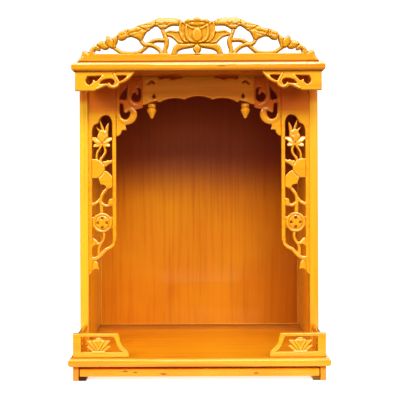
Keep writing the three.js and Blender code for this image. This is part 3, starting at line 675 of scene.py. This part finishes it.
def carve_climbing_leaves(b):
    b.stem("36 36.1 4.2, 35 31.6 3.8, 33.2 27 4.2, 31.6 22.5 5.2, 32 18 4.8, 33 14 4.4, 33.2 8.5 5.6",
           lift=0.86, drop=0.4)
    b.stem("85.6 16.5 3.6, 81.2 13.3 3.6, 77.2 10.8 3.6, 71.2 10 3.6, 64.2 10.1 3.6, 58.8 11.2 3.6, "
           "55.2 13.8 3.6, 51.8 17.1 3.8", drop=0.4)
    b.stem("34.2 23 3.8, 40.2 23.2 3.7, 44.6 22.5 3.8, 47.8 20.5 4, 51.7 18.9 3.8", lift=0.84, drop=0.4)
    b.stem("57.8 23.8 4.4, 56 20.6 3.8, 52.8 18.4 4.2, 48.8 18.3 4, 44.6 17.1 3.8, 40.8 14.8 3.8, "
           "37.8 11.6 4, 36.2 7.6 4.6", lift=0.9, drop=0.4, cut=hairline)
    b.leaf("102.3 18.6, 100.8 20.5, 98.2 22, 95.2 22.5, 92.2 21.6 / 89.6 15.9, 91.2 14.4, 94.2 13.8, "
           "96.8 14.7, 99.4 16.3", dome=3.6, drop=0.32)
    b.leaf("110.2 7.4, 110.2 10.4, 109.5 12.5, 108 14.7, 106 16.7, 104 18, 102.2 18.4 / 102.2 18.4, "
           "99.8 16.8, 98.4 15.3, 98.2 13.9, 99 12.7, 100.4 12.6, 102 13.3 / 103 13.3, 103.8 12.3, 104 10.9, "
           "103.4 9.5, 101.8 8.3, 100.2 7.3", lift=0.98, dome=2.6, drop=0.42, cut=groove,
           veins=[("102.6 15.1, 101 14.5, 99.6 13.8", 0.6, 0.14)])
    b.leaf("86.6 24.1, 84.6 26.5, 81.4 28.2 / 81.4 28.2, 80.5 25, 81.1 21.7, 82.2 18.7, 82.6 15.9 / 84 14.8, "
           "86.8 15, 88.6 17.1", lift=0.92, dome=2.8, drop=0.32, cut=hairline)
    b.leaf("90.9 28.1, 88.5 26.5, 86.1 24.2 / 86.1 24.2, 85 21.1, 85.2 17.7, 86 15 / 88 15.1, 90.4 16.9, "
           "92.2 19.4, 92.9 22.2, 92.5 25.2", lift=1, dome=2.8, drop=0.34, cut=trench)
    b.leaf("81.5 28.1, 80.2 30.3, 78.2 31.9, 75.2 32.9, 72.2 34.1, 68.8 34.6 / 66.8 31.5, 67.2 26.9 / "
           "67.2 26.9, 69.2 26.7, 71.6 25.9, 74 23.9, 77 23.1, 79.5 23.5 / 80.4 25.4", dome=2.4, cut=hairline,
           veins=[("79.6 29.4, 79 27, 78.4 24.4", 0.5, 0.1), ("73.8 32.4, 72.4 30.4, 70.8 27.9", 0.5, 0.14),
           ("77.6 27.4, 75.2 28.4, 72.8 28.8", 0.5, 0.06)])
    b.leaf("45.8 42.3, 44 43.5, 41.4 45, 38.2 45.7, 30.2 45.8, 24.2 45.4, 20 44.8, 17 43 / 15.2 40.8, "
           "17.2 38.2 / 21.8 38.1, 26.2 38, 29.2 36.9, 31.8 36.3 / 39.8 37, 43.2 37.5, 46.8 35.7", dome=2.6,
           lean=(0, -0.15), cut=hairline, veins=[("42.6 40, 39.8 39.4, 38.2 38.4", 0.6, 0.12),
           ("33.6 39.8, 31.6 39.1, 29.2 39.7", 0.7, 0.16), ("19.6 44.8, 20 42, 19.2 39", 0.5, 0.12)])
    b.leaf("41 37.4, 37.6 38.4, 34.2 38.3, 31.6 38.1, 29.2 37.9 / 31 35.7, 33.6 34.4, 38 34.4, 39.6 36",
           lift=0.98, dome=1.8, cut=trench)
    b.leaf("62.8 36.9, 60 38.1, 56.2 39.4, 52.2 40.5, 48.2 41.6, 43.8 43.6 / 42.6 40.6, 43.4 37.7 / "
           "43.4 37.7, 46 36.1, 48.2 34, 51.2 32.2 / 55.2 34, 59.2 35.4", lift=0.86, dome=1.8, drop=0.26,
           lean=(0, -0.12), cut=hairline, veins=[("59.2 36.9, 54.2 37.9, 48.2 38.4", 0.6, 0.08),
           ("57.2 34.6, 52.2 34.1, 47.6 35.1", 0.5, 0.1)])
    b.leaf("71.2 33.5, 68.2 34.6, 64.2 35.4, 61.2 36.9 / 57.4 35.4, 54.6 33.4, 51.2 32.4 / 51.2 32.4, "
           "53.2 29.4, 54.6 26.8, 55.8 24, 57.9 22.6 / 60.2 23.9, 63.2 25.4, 66.2 26.6, 67.8 27.1 / "
           "69.6 29.9", lift=1, dome=2.4, cut=trench,
           veins=[("67.2 29.9, 63.6 31.3, 59.8 31.6, 57.4 33.4", 0.7, 0.16),
           ("64.6 27.3, 60.8 28.4, 58.6 29.8", 0.5, 0.07)])


# %% The rail and the scroll at its end
def carve_rail(b):
    b.leaf("121.1 0, 121 2, 119.4 4.6 / 116.7 7.3, 116.8 9.6, 116 11.8, 114.6 12.7, 112.4 12.3, 110.6 11.2 / "
           "108.6 8, 107.6 4 / 107 0", lift=0.98, dome=3, drop=0.4, cut=groove)
    b.form(square_outline(-4, 117, 0, 9.2), lift=0.92, dome=0.5, drop=0.2)


# %% The lotus
def laid_round(b, middle):
    """Two ways to lay a form beside an upright line: as it is drawn, or also mirrored."""
    def one(drawing, **how):
        b.form(closed_outline(drawing) + [middle, 0], **how)

    def both(drawing, **how):
        for way in (1, -1):
            b.form(closed_outline(drawing) * [way, 1] + [middle, 0], **how)

    return one, both


def carve_lotus(b):
    """The lotus stands one square left of the board's middle."""
    one, both = laid_round(b, -1)
    one("-14 18.8, -15 30, -13 40, -8 43, 0 44, 8 43, 13 40, 15 30 / 14 18.8", lift=0.6, dome=1.5, drop=0.1)
    both("3 38, 4.6 42.6, 7.4 44.6, 10.4 44.2, 13 41.6 / 14 37, 8 36", lift=0.76, dome=2.2, drop=0.25,
         lean=(0, 0.2))
    one("-5 39.6, -4.4 43, -2.6 45.4, 0 46, 2.6 45.4, 4.4 43, 5 39.6 / 3 37.4, -3 37.4", lift=0.84, dome=2.2,
        lean=(0, 0.25), cut=(0.6, 0.15))
    one("-12 38.8, -7 40.8, 0 41.4, 7 40.8, 12 38.8 / 7 38.4, 0 37.2, -7 38.4", lift=0.8, dome=1.8,
        cut=trench)
    both("33 30.6, 30 32.4, 27.2 33.2, 21.5 32.4, 16.5 31.6 / 11 24 / 12 19.4, 16.5 19.2, 19.4 20.2, "
         "22 22.8, 25.2 25.6, 28.7 27, 32 28", lift=0.86, dome=1.8, drop=0.35, rim=(1.1, 0.22))
    both("9.8 38, 12.2 40.8, 15.2 42.4, 17.5 41 / 18.3 36, 18.1 30.4, 16.2 25, 12.6 21 / 8 19.8, 9 28",
         drop=0.35, rim=(1.2, 0.24), cut=(0.7, 0.22))
    both("0 34.8, 3.6 35.8, 7.4 37.6, 10.6 39.4 / 12 36, 12.2 31, 11.4 26, 9.2 22.4, 5.4 20.4 / 0 19.8",
         lift=0.96, drop=0.35, rim=(1.3, 0.26), cut=(0.7, 0.25))
    both("1 18.8, 3.4 19.6, 9.2 19.6, 15.2 19.4, 19.6 19.6, 22 18.4, 24 15.8, 25.2 12.4, 25.8 8.6 / "
         "20.2 8.6, 19.6 11.2, 17.2 12.9, 13.2 14.2, 7.2 15.2, 4.4 15.8, 1.8 17.4", lift=0.88, dome=2.1,
         drop=0.42, cut=(0.6, 0.15))
    one("0 35.6, -3.2 33.2, -4.6 29.4, -4.5 25.6, -3 22.6, 0 21.3, 3 22.6, 4.5 25.6, 4.6 29.4, 3.2 33.2",
        lift=1, dome=2, drop=0.25, cut=(0.6, 0.35))
    one("0 19.4, -2.4 17, -4.4 14.4 / -3.4 12, -2 10 / -1.9 8 / 1.9 8 / 2 10, 3.4 12 / 4.4 14.4, 2.4 17",
        lift=0.98, dome=2.4, drop=0.4, cut=(0.7, 0.25))


crest = CarvedBoard("crest", 2 * 121.1, 46, left_u=-121.1)
carve_climbing_leaves(crest)
carve_rail(crest)
crest.turn_over()
carve_lotus(crest)
hang_carving(crest, "crest", wood=crest_pine)

# %% [markdown]
# ## The brackets under the roof
# A pierced bracket fills each front corner under the roof, and a shorter one runs back to the
# post. All four are cut from one drawing.

# %% The bracket drawing
def carve_bracket(b):
    b.leaf("0 21 / 61.4 21, 59.7 19.4, 58.2 16.6, 56.2 13.7, 53 10.7, 49.2 8.5, 45.8 7.3, 43.8 6, 42.3 4.1, "
           "40 2.5, 37.4 1.9, 34.4 2.9 / 31.8 4.9, 29.5 4.1, 26.5 2.7 / 22 2.2, 21.2 0.7 / 19.4 0 / 0 0",
           lift=0.84, dome=0.9, drop=0.25)
    b.stem("39.2 17 2.6, 41.6 12.6 2.6, 43.6 8.6 2.8, 42.8 5.8 3, 40.4 4.2 3, 37.6 4 2.8, 35.2 5.4 2.6, "
           "34.2 7.6 2.2", lift=1, cut=groove)
    b.stem("44.8 8.8 2.2, 49 10.4 2.4, 53 12.9 2.6, 56.6 16.4 2.8, 59.4 20 3", lift=0.95, drop=0.35)
    b.stem("22.6 2.4 2.4, 26.4 4.4 2.6, 30 5.9 2.6, 33.4 6.6 2", lift=0.95, drop=0.35)
    b.stem("18.6 9.4 2, 21.6 8.6 2.4, 24.6 11 2.6, 28 14.6 2.8", lift=0.93, drop=0.35)
    b.saw("12 13.4, 13.2 14.7 / 26.6 15.1, 24.5 12.7, 22.3 10.3, 21 9.8, 19.5 10.6 / 18 11.2, 17.3 8.1, "
          "14.3 6, 11.5 7.7, 10.7 11")
    b.saw("24.7 7.4, 26.4 9.7, 30 11.6, 35.7 12.1, 38.9 10.9, 39.8 8.4, 38.6 6.5, 37.2 5.9, 35.4 7.3 / "
          "34.2 8.4, 32.4 7.2, 28.5 7.2, 26.2 6.7")
    b.saw("41.8 15.2, 47 15.6, 51.7 15, 50.6 12.9, 47.5 10.7 / 44.7 9.6")


front_bracket = CarvedBoard("left_cornice_bracket", 59.7, 19.4)
carve_bracket(front_bracket)
side_bracket = CarvedBoard("left_cornice_side_bracket", 59.7, 19.4, sideways=True)
carve_bracket(side_bracket)
for side in sides:
    hang_carving(front_bracket, side + "_cornice_bracket")
    hang_carving(side_bracket, side + "_cornice_side_bracket")

# %% [markdown]
# ## The panels beside the opening
# One stem climbs each panel from the foot to a lotus cup at the top, with a coin and round leaves on
# the way. The leaves have a raised rim and a hollow inside it, which catches the light along the edge.

# %% The panel's frame and its lotus cup
def carve_panel_top(b):
    b.leaf("-2 -2 / 3.8 4.4 / 3.8 202 / -2 202", lift=0.92, dome=0.9, drop=0.2)
    b.form(square_outline(24.2, 30, 35, 202), lift=0.92, dome=0.9, drop=0.2)
    b.leaf("-2 202 / -2 144 / 3.6 144, 4.4 148, 5.7 150.9, 7.6 152.3 / 9.8 153, 11.4 156.8, 13.2 159.2, "
           "15.6 160.8, 18.2 161.3, 20.7 160.5, 22.5 158.6, 23.7 156 / 24.4 152.4 / 30 152.4 / 30 202",
           lift=0.92, dome=0.9, drop=0.2)
    for spike in ("7.7 149.9, 10.2 148 / 13.4 145.6, 11.2 143.6, 9.3 146.8",
                  "11.3 157.2, 13.8 152.8 / 16.2 147, 13.9 145.2, 12.4 150.2",
                  "21 154.2, 20.5 149, 19.7 143 / 17 142, 17 147.4, 18.6 151.4"):
        b.leaf(spike, lift=0.88, dome=1.2, drop=0.3)
    b.leaf("10.6 143.8, 9.1 140, 10 136.2 / 13.3 132.6, 17 135.6, 19.8 139 / 20 143.6, 17.4 145.8, "
           "14.6 147.4, 12 146", lift=0.94, dome=2.6, drop=0.35, cut=groove,
           veins=[("11.6 141.6, 14 143.4, 15.4 140.4, 18.4 142", 0.6, 0.08)])
    for petal in ("3.5 139.3, 7.4 139.6, 10.4 136.6 / 13.8 133.2, 10.2 132.6, 6.8 133.6, 5.2 135.2 / "
                  "3.5 136.3",
                  "24.5 138.9, 20.4 139.3, 16.9 136 / 14 133.2, 17.6 132.6, 20.8 134, 22.4 135.4 / "
                  "24.5 136.5",
                  "13.8 133.4, 9.4 133.6, 5.6 132.2 / 5.2 129.2, 9.4 129.2 / 13.4 131",
                  "14 133.4, 18.4 133.6, 21.8 132.4 / 21.9 129.4, 17.6 129.5 / 14.2 131"):
        b.leaf(petal, lift=0.88, dome=1.3, drop=0.25, lean=(0, -0.75), cut=(0.5, 0.2))


# %% The leaves and the coin
def carve_panel_leaves(b):
    b.stem("14 132 2.2, 11.3 127.6 2.2, 9 124 2.2, 8.2 120 2.4, 8.6 115.5 2.6")
    b.stem("14.6 132 2.4, 16.8 127.6 2.6, 16.8 123.6 2.6, 14.8 120.2 2.6, 12.7 117.4 2.8, 12 114 3")
    b.leaf("13.2 113.4, 15.2 115.4, 17.3 115.2, 19.2 116.3, 21.6 116 / 24.5 116.9 / 24.5 113.2, 21.7 112.4, "
           "18.9 110.5 / 15.8 108", lift=0.84)
    b.leaf("3.5 117.2, 8.5 117.3, 12.3 115.2, 14.9 112, 16.4 108.4, 16.6 105.2, 15 102.6, 12.4 100.1 / "
           "10 97.9 / 3.5 97.9", lift=0.96, dome=1.3, drop=0.28, cut=hairline)
    b.leaf("10 98, 12.9 100.5, 15 103 / 16.4 105.3, 18.9 104.9, 21 103.3, 23 101 / 24.5 99 / 24.5 88.8 / "
           "22.2 87.6, 18.6 87.4, 17.2 89.9, 15 91.1 / 12.3 91.4, 11.3 93.8", lift=1, dome=1.3, drop=0.28,
           cut=groove)
    b.stem("20.4 89.4 3.2, 16.7 85.4 3.6, 13.5 81 3.6, 12.4 76 3.8, 12.8 70 4, 13.2 62 4.2")
    b.stem("12.2 77.4 3.4, 8.9 74 3.6, 5.9 72.2 3.8, 2.4 70.6 4.6", lift=0.82)
    b.stem("13.2 72.4 4, 17.4 70.2 3.6, 21.3 71 3.8, 25.4 72.4 4.6", lift=0.82)
    b.leaf("19.2 71, 20 74.5 / 20.6 76.8, 22 77 / 24.5 78 / 24.5 70.5", lift=0.86, dome=1.4)
    b.form(square_outline(3.5, 6.6, 48.2, 58.8), lift=0.84, dome=1, drop=0.2)
    b.form(square_outline(21, 24.5, 47.4, 58.8), lift=0.84, dome=1, drop=0.2)
    b.stem("15.1 44.5 3.2, 15.4 38.6 3, 13.9 34.6 3, 11.5 31 3.2, 10.2 27 3.2, 10.4 21 3.6")
    b.leaf("3.5 37.2, 5.1 38.1, 7.3 36.4, 9.6 34.2 / 11.6 32.4, 9.5 31.1, 7.4 31.1, 5.2 30.3 / 3.5 28.5",
           lift=0.88, dome=1.4, drop=0.25, lean=(0.2, -0.5))
    b.stem("26.1 37 3.8, 24.9 31.4 3.8, 21.2 27.9 3.8, 17.2 26 3.8, 14.4 22.9 4, 11.3 19.6 4, 8 17.6 4.2, "
           "3.2 16.4 5.4", lift=0.9)
    b.leaf("3.5 15.3, 6.5 15.4, 8.4 14.1, 9.6 11.6, 10 8.8 / 10.6 5.9, 8.2 6.7 / 5.4 6.3 / 3.5 4.2", dome=1.4,
           lean=(0.25, -0.35), cut=groove)


def carve_coin(b):
    """A rim, a groove inside it and a flat face with four small holes."""
    middle = (13.9, 53.2)
    ring = round_outline(*middle, 7.2)
    b.form(round_outline(*middle, 10), lift=0.99, dome=1.2, drop=0.3, cut=groove,
           veins=[(np.vstack([ring, ring[:1]]), 0.5, 0.22)])
    for quarter in range(4):
        angle = quarter * math.pi / 2
        u = middle[0] + 4.6 * math.cos(angle)
        v = middle[1] + 4.6 * math.sin(angle)
        b.hole(round_outline(u, v, 1.6, 24), dome=0.4, drop=0.05)


fret = CarvedBoard("left_fret_panel", 28, 199.5)
carve_panel_top(fret)
carve_panel_leaves(fret)
carve_coin(fret)
for side in sides:
    hang_carving(fret, side + "_fret_panel", wood=shaded_carving)

# %% [markdown]
# ## The spandrels, the frieze and the drops
# Two scrolled spandrels and a scalloped board close the top of the opening, and a turned drop hangs
# under each end of the board. The drops are turned, so their profile is spun about an axis.

# %% The spandrels
def carve_spandrel(b):
    b.leaf("0 63 / 0 0, 1.8 0.4, 3.8 1.7, 5.3 3.9 / 5.7 5.9, 7.5 6.3 / 10.3 6.4, 10.2 8, 9.6 10 / 10 11.6, "
           "12.5 12, 16 13.2, 19.3 16, 21.2 20.4, 21.2 24 / 19.8 27, 22 27.6, 25 28.3 / 30 30.4 / 30 63",
           lift=0.82, dome=1.1)
    b.stem("2 62 5, 1.9 40 5, 1.7 26 5, 4.6 17.4 5.4, 10.3 14.8 5, 15.6 17 4.8, 17.9 22 4.8, 16.6 26.4 4.6, "
           "12.6 27.2 4.2, 10.2 25.6 3", lift=0.98, drop=0.3)
    b.stem("13 60 4.6, 12.9 48 4.4, 12.9 40 4.6, 15.6 33.4 4.8, 21 31 4.8, 26.4 33 5, 29 38 5", lift=0.98,
           drop=0.3)
    b.stem("22.4 54 4, 21.6 46 3.4, 21.9 43 2.6", lift=0.94, drop=0.3)
    b.saw("3.7 37.6, 4.7 41.5, 7.4 45.6 / 11.8 49.8, 11 45, 10.7 41, 10.2 38 / 8.7 36.4, 6.5 37.2", dome=1.4,
          drop=0.3)
    b.saw("18.9 44.4, 16.5 42, 15.9 39, 17.5 35.8, 20.7 34.6, 23.8 35.8, 25.2 39, 25.2 43, 25.2 46.5, "
          "23.8 48.8 / 20.5 48.5, 22.3 46.6, 23 44.4, 22.7 42.4, 21.6 41.6, 20.3 42.6", dome=1.4, drop=0.3)
    b.saw("4 33, 5.7 33.3, 7.2 31.4, 7.6 28, 7.7 25, 9 23.6 / 11 24.2, 13.2 25.2, 14.2 23.5, 13.7 20.8, "
          "11.7 18.3, 9 17.4, 6 18.7, 4.3 22, 3.7 27.5", dome=1.4, drop=0.3)


spandrel = CarvedBoard("left_spandrel", 27, 59.6)
carve_spandrel(spandrel)
for side in sides:
    hang_carving(spandrel, side + "_spandrel", wood=shaded_carving)


# %% The frieze
def carve_frieze(b):
    half = closed_outline("0 9.3 / 0 31 / 16.4 31 / 16.4 27.3 / 21 27.2, 25.1 25.6 / 29 27.2 / 35 27.1 / "
                          "35.4 26.4, 37.4 26 / 39.4 26.4 / 39.4 31 / 58.7 31 / 58.7 -0.5, 50 1.6, 45 3.2 / "
                          "41.4 4.4, 40.4 3.3 / 38.5 2.7, 36 4.3, 31.5 6.1, 27 6.9, 22.3 7.1, 18 6.6 / "
                          "13.9 5.4, 11 7, 7.5 8.2, 3.7 9")
    whole = np.concatenate([half[1:], half[:0:-1] * [-1, 1]])
    b.form(whole, lift=0.9, dome=1.1, drop=0.3)
    end = read_points("42.4 26.4 2.4, 49.4 26.7 2.4, 53.2 24.4 2.6, 54.6 19.3 2.6, 54.2 13.3 2.6, "
                      "53 8.3 2.8, 50.2 4.2 3, 45.4 4.8 2.6, 41.6 6.4 2")
    crescent = closed_outline("51.9 21.1, 50.3 22.5, 48 24.6, 46.4 25, 44.6 23.6 / 43 22, 44.6 21.4, "
                              "46.4 22.4, 48 22, 49.6 20.6")
    drop = closed_outline("44.6 11.6, 45.9 9, 45.4 7.2, 44.4 6.7, 43.3 7.3, 43 9")
    for way in (1, -1):
        b.stem(end * [way, 1, 1], lift=1.0, drop=0.3)
    for way in (1, -1):
        b.hole(crescent * [way, 1])
        b.hole(drop * [way, 1])


frieze = CarvedBoard("frieze_board", 2 * 55.7, 28.7, left_u=-55.7)
carve_frieze(frieze)
hang_carving(frieze, "frieze_board", wood=frieze_pine)


# %% The turned drops
def turned_drop(node):
    """Rings of points round an upright axis, from the foot to the top. A profile point is (out, up)."""
    low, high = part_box(node)
    middle = (low + high) / 2
    outer, tall = (high.x - low.x) / 2, high.z - low.z
    profile = curve_through("0 0, 0.2 0.015, 0.34 0.07, 0.52 0.2, 0.78 0.35, 0.95 0.46, 1 0.54, 0.96 0.62, "
                            "0.82 0.69, 0.68 0.73, 0.74 0.77, 0.86 0.8, 0.86 0.88, 0.8 0.94, "
                            "0.84 0.985, 0.8 1, 0 1", steps=3)
    out, up = np.clip(profile[1:-1, 0], 0, 0.985) * outer, profile[1:-1, 1] * tall
    turns = 48
    number = np.arange(len(out) * turns).reshape(-1, turns)
    after = np.roll(number, -1, axis=1)
    quads = np.stack([number[:-1], after[:-1], after[1:], number[1:]], 2).reshape(-1, 4)
    angle = np.arange(turns) * 2 * math.pi / turns
    points = np.stack([middle.x + np.outer(out, np.cos(angle)), middle.y + np.outer(out, np.sin(angle)),
                       low.z + np.outer(up, np.ones(turns))], 2).reshape(-1, 3)
    faces = [quads, number[:1, ::-1], number[-1:]]
    mesh = mesh_from_faces(node + "_turned", points, faces, {}, crease=50)
    dress(node, "_turned", mesh, carved_pine)


for side in sides:
    turned_drop(side + "_pendant")
print("drops turned")

# %% [markdown]
# ## The railings
# A low railing stands on each side of the front step. Its frame is sawn open and a lotus fills the
# opening. The shorter railing behind it runs back to the post.

# %% The lotus in a railing
def carve_railing_lotus(b, middle):
    """Petals fan out from the foot on both sides of a wide middle petal, and a bud shows over it."""
    one, both = laid_round(b, middle)
    both("0 4.8 / 6.4 4.8, 9.2 8.2, 11.6 9.8 / 12.8 11, 10.8 12.1 / 8.4 12.4 / 9.7 13.6, 11.2 15.4 / "
         "12 17.3, 9.4 17.7, 7 17.3, 5 18.3, 3.2 19.7, 1.8 21 / 0 21.8", lift=0.6, dome=1.2, drop=0.2)
    both("9.6 8.4, 6.6 8.6, 3 6.4 / 2.5 4.8, 6 5.2", lift=0.8, dome=1)
    both("12.6 11.2, 9.4 12.1, 6.4 10, 2.4 6.4 / 3.4 5.4, 7.6 7.2", lift=0.86, dome=1, cut=(0.5, 0.2))
    both("12.2 17.1, 9 17.5, 6 16.4, 3.2 11.6, 0.6 6.6 / 2.2 6, 5.2 9.4, 8.2 12.6", lift=0.92, dome=1,
         cut=(0.5, 0.22))
    one("-3 17.6, -2.6 19.8, 0 20.8, 2.6 19.8 / 3 17.6", lift=0.98, dome=1, lean=(0, -0.8), cut=(0.5, 0.2))
    one("-6.6 16.8, -3 18.2, 0 17.8, 3 18.2 / 6.6 16.8, 3 11.6 / 0 5.6, -3 11.6", lift=1, dome=0.9,
        rim=(1.2, 0.22), cut=(0.5, 0.22))
    b.form(square_outline(middle - 6.4, middle + 6.4, 4.2, 6.6), lift=1.0, dome=0.9, drop=0.3, cut=(0.4, 0.1))


# %% The railings themselves
def carve_front_railing(b):
    b.leaf("0 0 / 0 24.6 / 45.2 24.6, 46.6 21.8, 47.3 18.5, 48.3 15, 50.3 11.8, 53.4 8.8, 55.6 6, 56.5 3 / "
           "56.7 0", lift=0.92, dome=1.1)
    b.saw("8 5.6 / 8 21.3 / 40.3 21.3, 42.1 18.8, 43.1 15.8, 44.3 12.5, 46 9.5, 48.5 7 / 50.3 5.6")
    carve_railing_lotus(b, 25.5)


def carve_side_railing(b):
    b.form(square_outline(0, 46, 0, 24.6), lift=0.92, dome=1.1, drop=0.3)
    b.hole(square_outline(4, 42, 5.6, 21.3))
    carve_railing_lotus(b, 23)


front_railing = CarvedBoard("left_front_railing", 56.8, 24.6)
carve_front_railing(front_railing)
side_railing = CarvedBoard("left_side_railing", 46, 24.6, sideways=True)
carve_side_railing(side_railing)
for side in sides:
    hang_carving(front_railing, side + "_front_railing")
    hang_carving(side_railing, side + "_side_railing")

# %% [markdown]
# ## The floor and the light
# The cabinet stands on a plain pale floor in soft studio light. The floor fades out into a white
# backdrop and shines a little itself, so that it looks as bright as a lit sheet of paper.
# Softboxes stand above the front and at both sides. A low, warm fill lifts the shade in the niche, and
# a weak box lights the back. A card over the roof shows in the gloss alone, where it draws the clear
# line along the roof's edge.

# %% The floor
def pale_floor():
    shape = bmesh.new()
    bmesh.ops.create_grid(shape, x_segments=8, y_segments=8, size=6)
    mesh = bpy.data.meshes.new("floor")
    shape.to_mesh(mesh)
    shape.free()
    finish = Finish("floor_paper")
    away = finish.vector("LENGTH", finish.places(), output=1)
    fade_start, fade_end = 0.26, 0.6
    finish.set(Base_Color=(0.7, 0.7, 0.7), Roughness=0.9, Alpha=finish.spread(away, fade_end, fade_start),
               Emission_Color=(1, 1, 1), Emission_Strength=0.55)
    floor = mesh_object("floor", mesh, finish.material)


pale_floor()


# %% The lights
def softbox(name, place, size, power, colour=(1, 1, 1), aim=(0, 0, 0.35)):
    """A rectangular lamp turned towards the middle of the cabinet, or towards its own aim."""
    light = bpy.data.lights.new(name, "AREA")
    light.shape = "RECTANGLE"
    light.size, light.size_y = size
    light.energy = power
    light.color = colour
    lamp = bpy.data.objects.new(name, light)
    lamp.location = place
    lamp.rotation_euler = (Vector(aim) - Vector(place)).to_track_quat("-Z", "Y").to_euler()
    bpy.context.scene.collection.objects.link(lamp)
    return lamp


softbox("key", (0.3, -1.95, 1.9), (1.6, 0.9), 38)
softbox("left", (-1.75, -1.25, 1.65), (1.1, 0.9), 28)
softbox("right", (1.75, -1.25, 1.65), (1.1, 0.9), 14)
fill = softbox("fill", (0, -2.3, 0.75), (1.8, 0.8), 11, colour=(1, 0.68, 0.5))
fill.visible_glossy = False
softbox("rear", (0.8, 2.1, 1.3), (1.6, 0.9), 12)
card = softbox("card", (0, -0.45, 1.75), (2.6, 1.8), 75, aim=(0, -0.15, 0.5))
card.visible_diffuse = False
print("lights:", len(bpy.data.lights))


# %% The backdrop and the contrast
def white_backdrop():
    """White where the camera sees it, and almost no light of its own on the wood."""
    world = bpy.data.worlds.new("studio")
    world.use_nodes = True
    tree = world.node_tree
    backdrop = tree.nodes["Background"]
    backdrop.inputs["Color"].default_value = (1, 1, 1, 1)
    seen = tree.nodes.new("ShaderNodeLightPath")
    strength = tree.nodes.new("ShaderNodeMapRange")
    strength.inputs["To Min"].default_value = 0.05
    strength.inputs["To Max"].default_value = 1.0
    tree.links.new(seen.outputs["Is Camera Ray"], strength.inputs["Value"])
    tree.links.new(strength.outputs["Result"], backdrop.inputs["Strength"])
    bpy.context.scene.world = world


white_backdrop()
bpy.context.scene.view_settings.view_transform = "Standard"
bpy.context.scene.view_settings.look = "Medium High Contrast"

# %% [markdown]
# ## The camera
# The camera stands straight in front, a little over the middle of the cabinet. The horizon is above
# the middle of the picture, so the picture is shifted rather than tilted, which keeps uprights upright.

# %% The camera
def photograph_camera():
    picture = 400  # the picture's width, in dots like the three numbers below
    focal_length, moved_right, moved_down = 703.5, 0.5, 21.3
    yaw, roll = math.radians(-0.1), math.radians(-0.245)
    ahead = Vector((math.sin(yaw), math.cos(yaw), 0))
    right = Vector((math.cos(yaw), -math.sin(yaw), 0))
    up = Vector((0, 0, 1))
    turned_right = right * math.cos(roll) + up * math.sin(roll)
    turned_up = up * math.cos(roll) - right * math.sin(roll)
    camera = bpy.data.cameras.new("camera")
    camera.sensor_width = 36
    camera.lens = focal_length / picture * camera.sensor_width
    camera.shift_x = moved_right / picture
    camera.shift_y = -moved_down / picture
    stand = bpy.data.objects.new("camera", camera)
    axes = Matrix((turned_right, turned_up, -ahead)).transposed().to_4x4()
    stand.matrix_world = Matrix.Translation((0.0037, -1.4367, 0.37)) @ axes
    bpy.context.scene.collection.objects.link(stand)
    bpy.context.scene.camera = stand


photograph_camera()
print("camera at", tuple(round(v, 3) for v in bpy.context.scene.camera.matrix_world.translation))
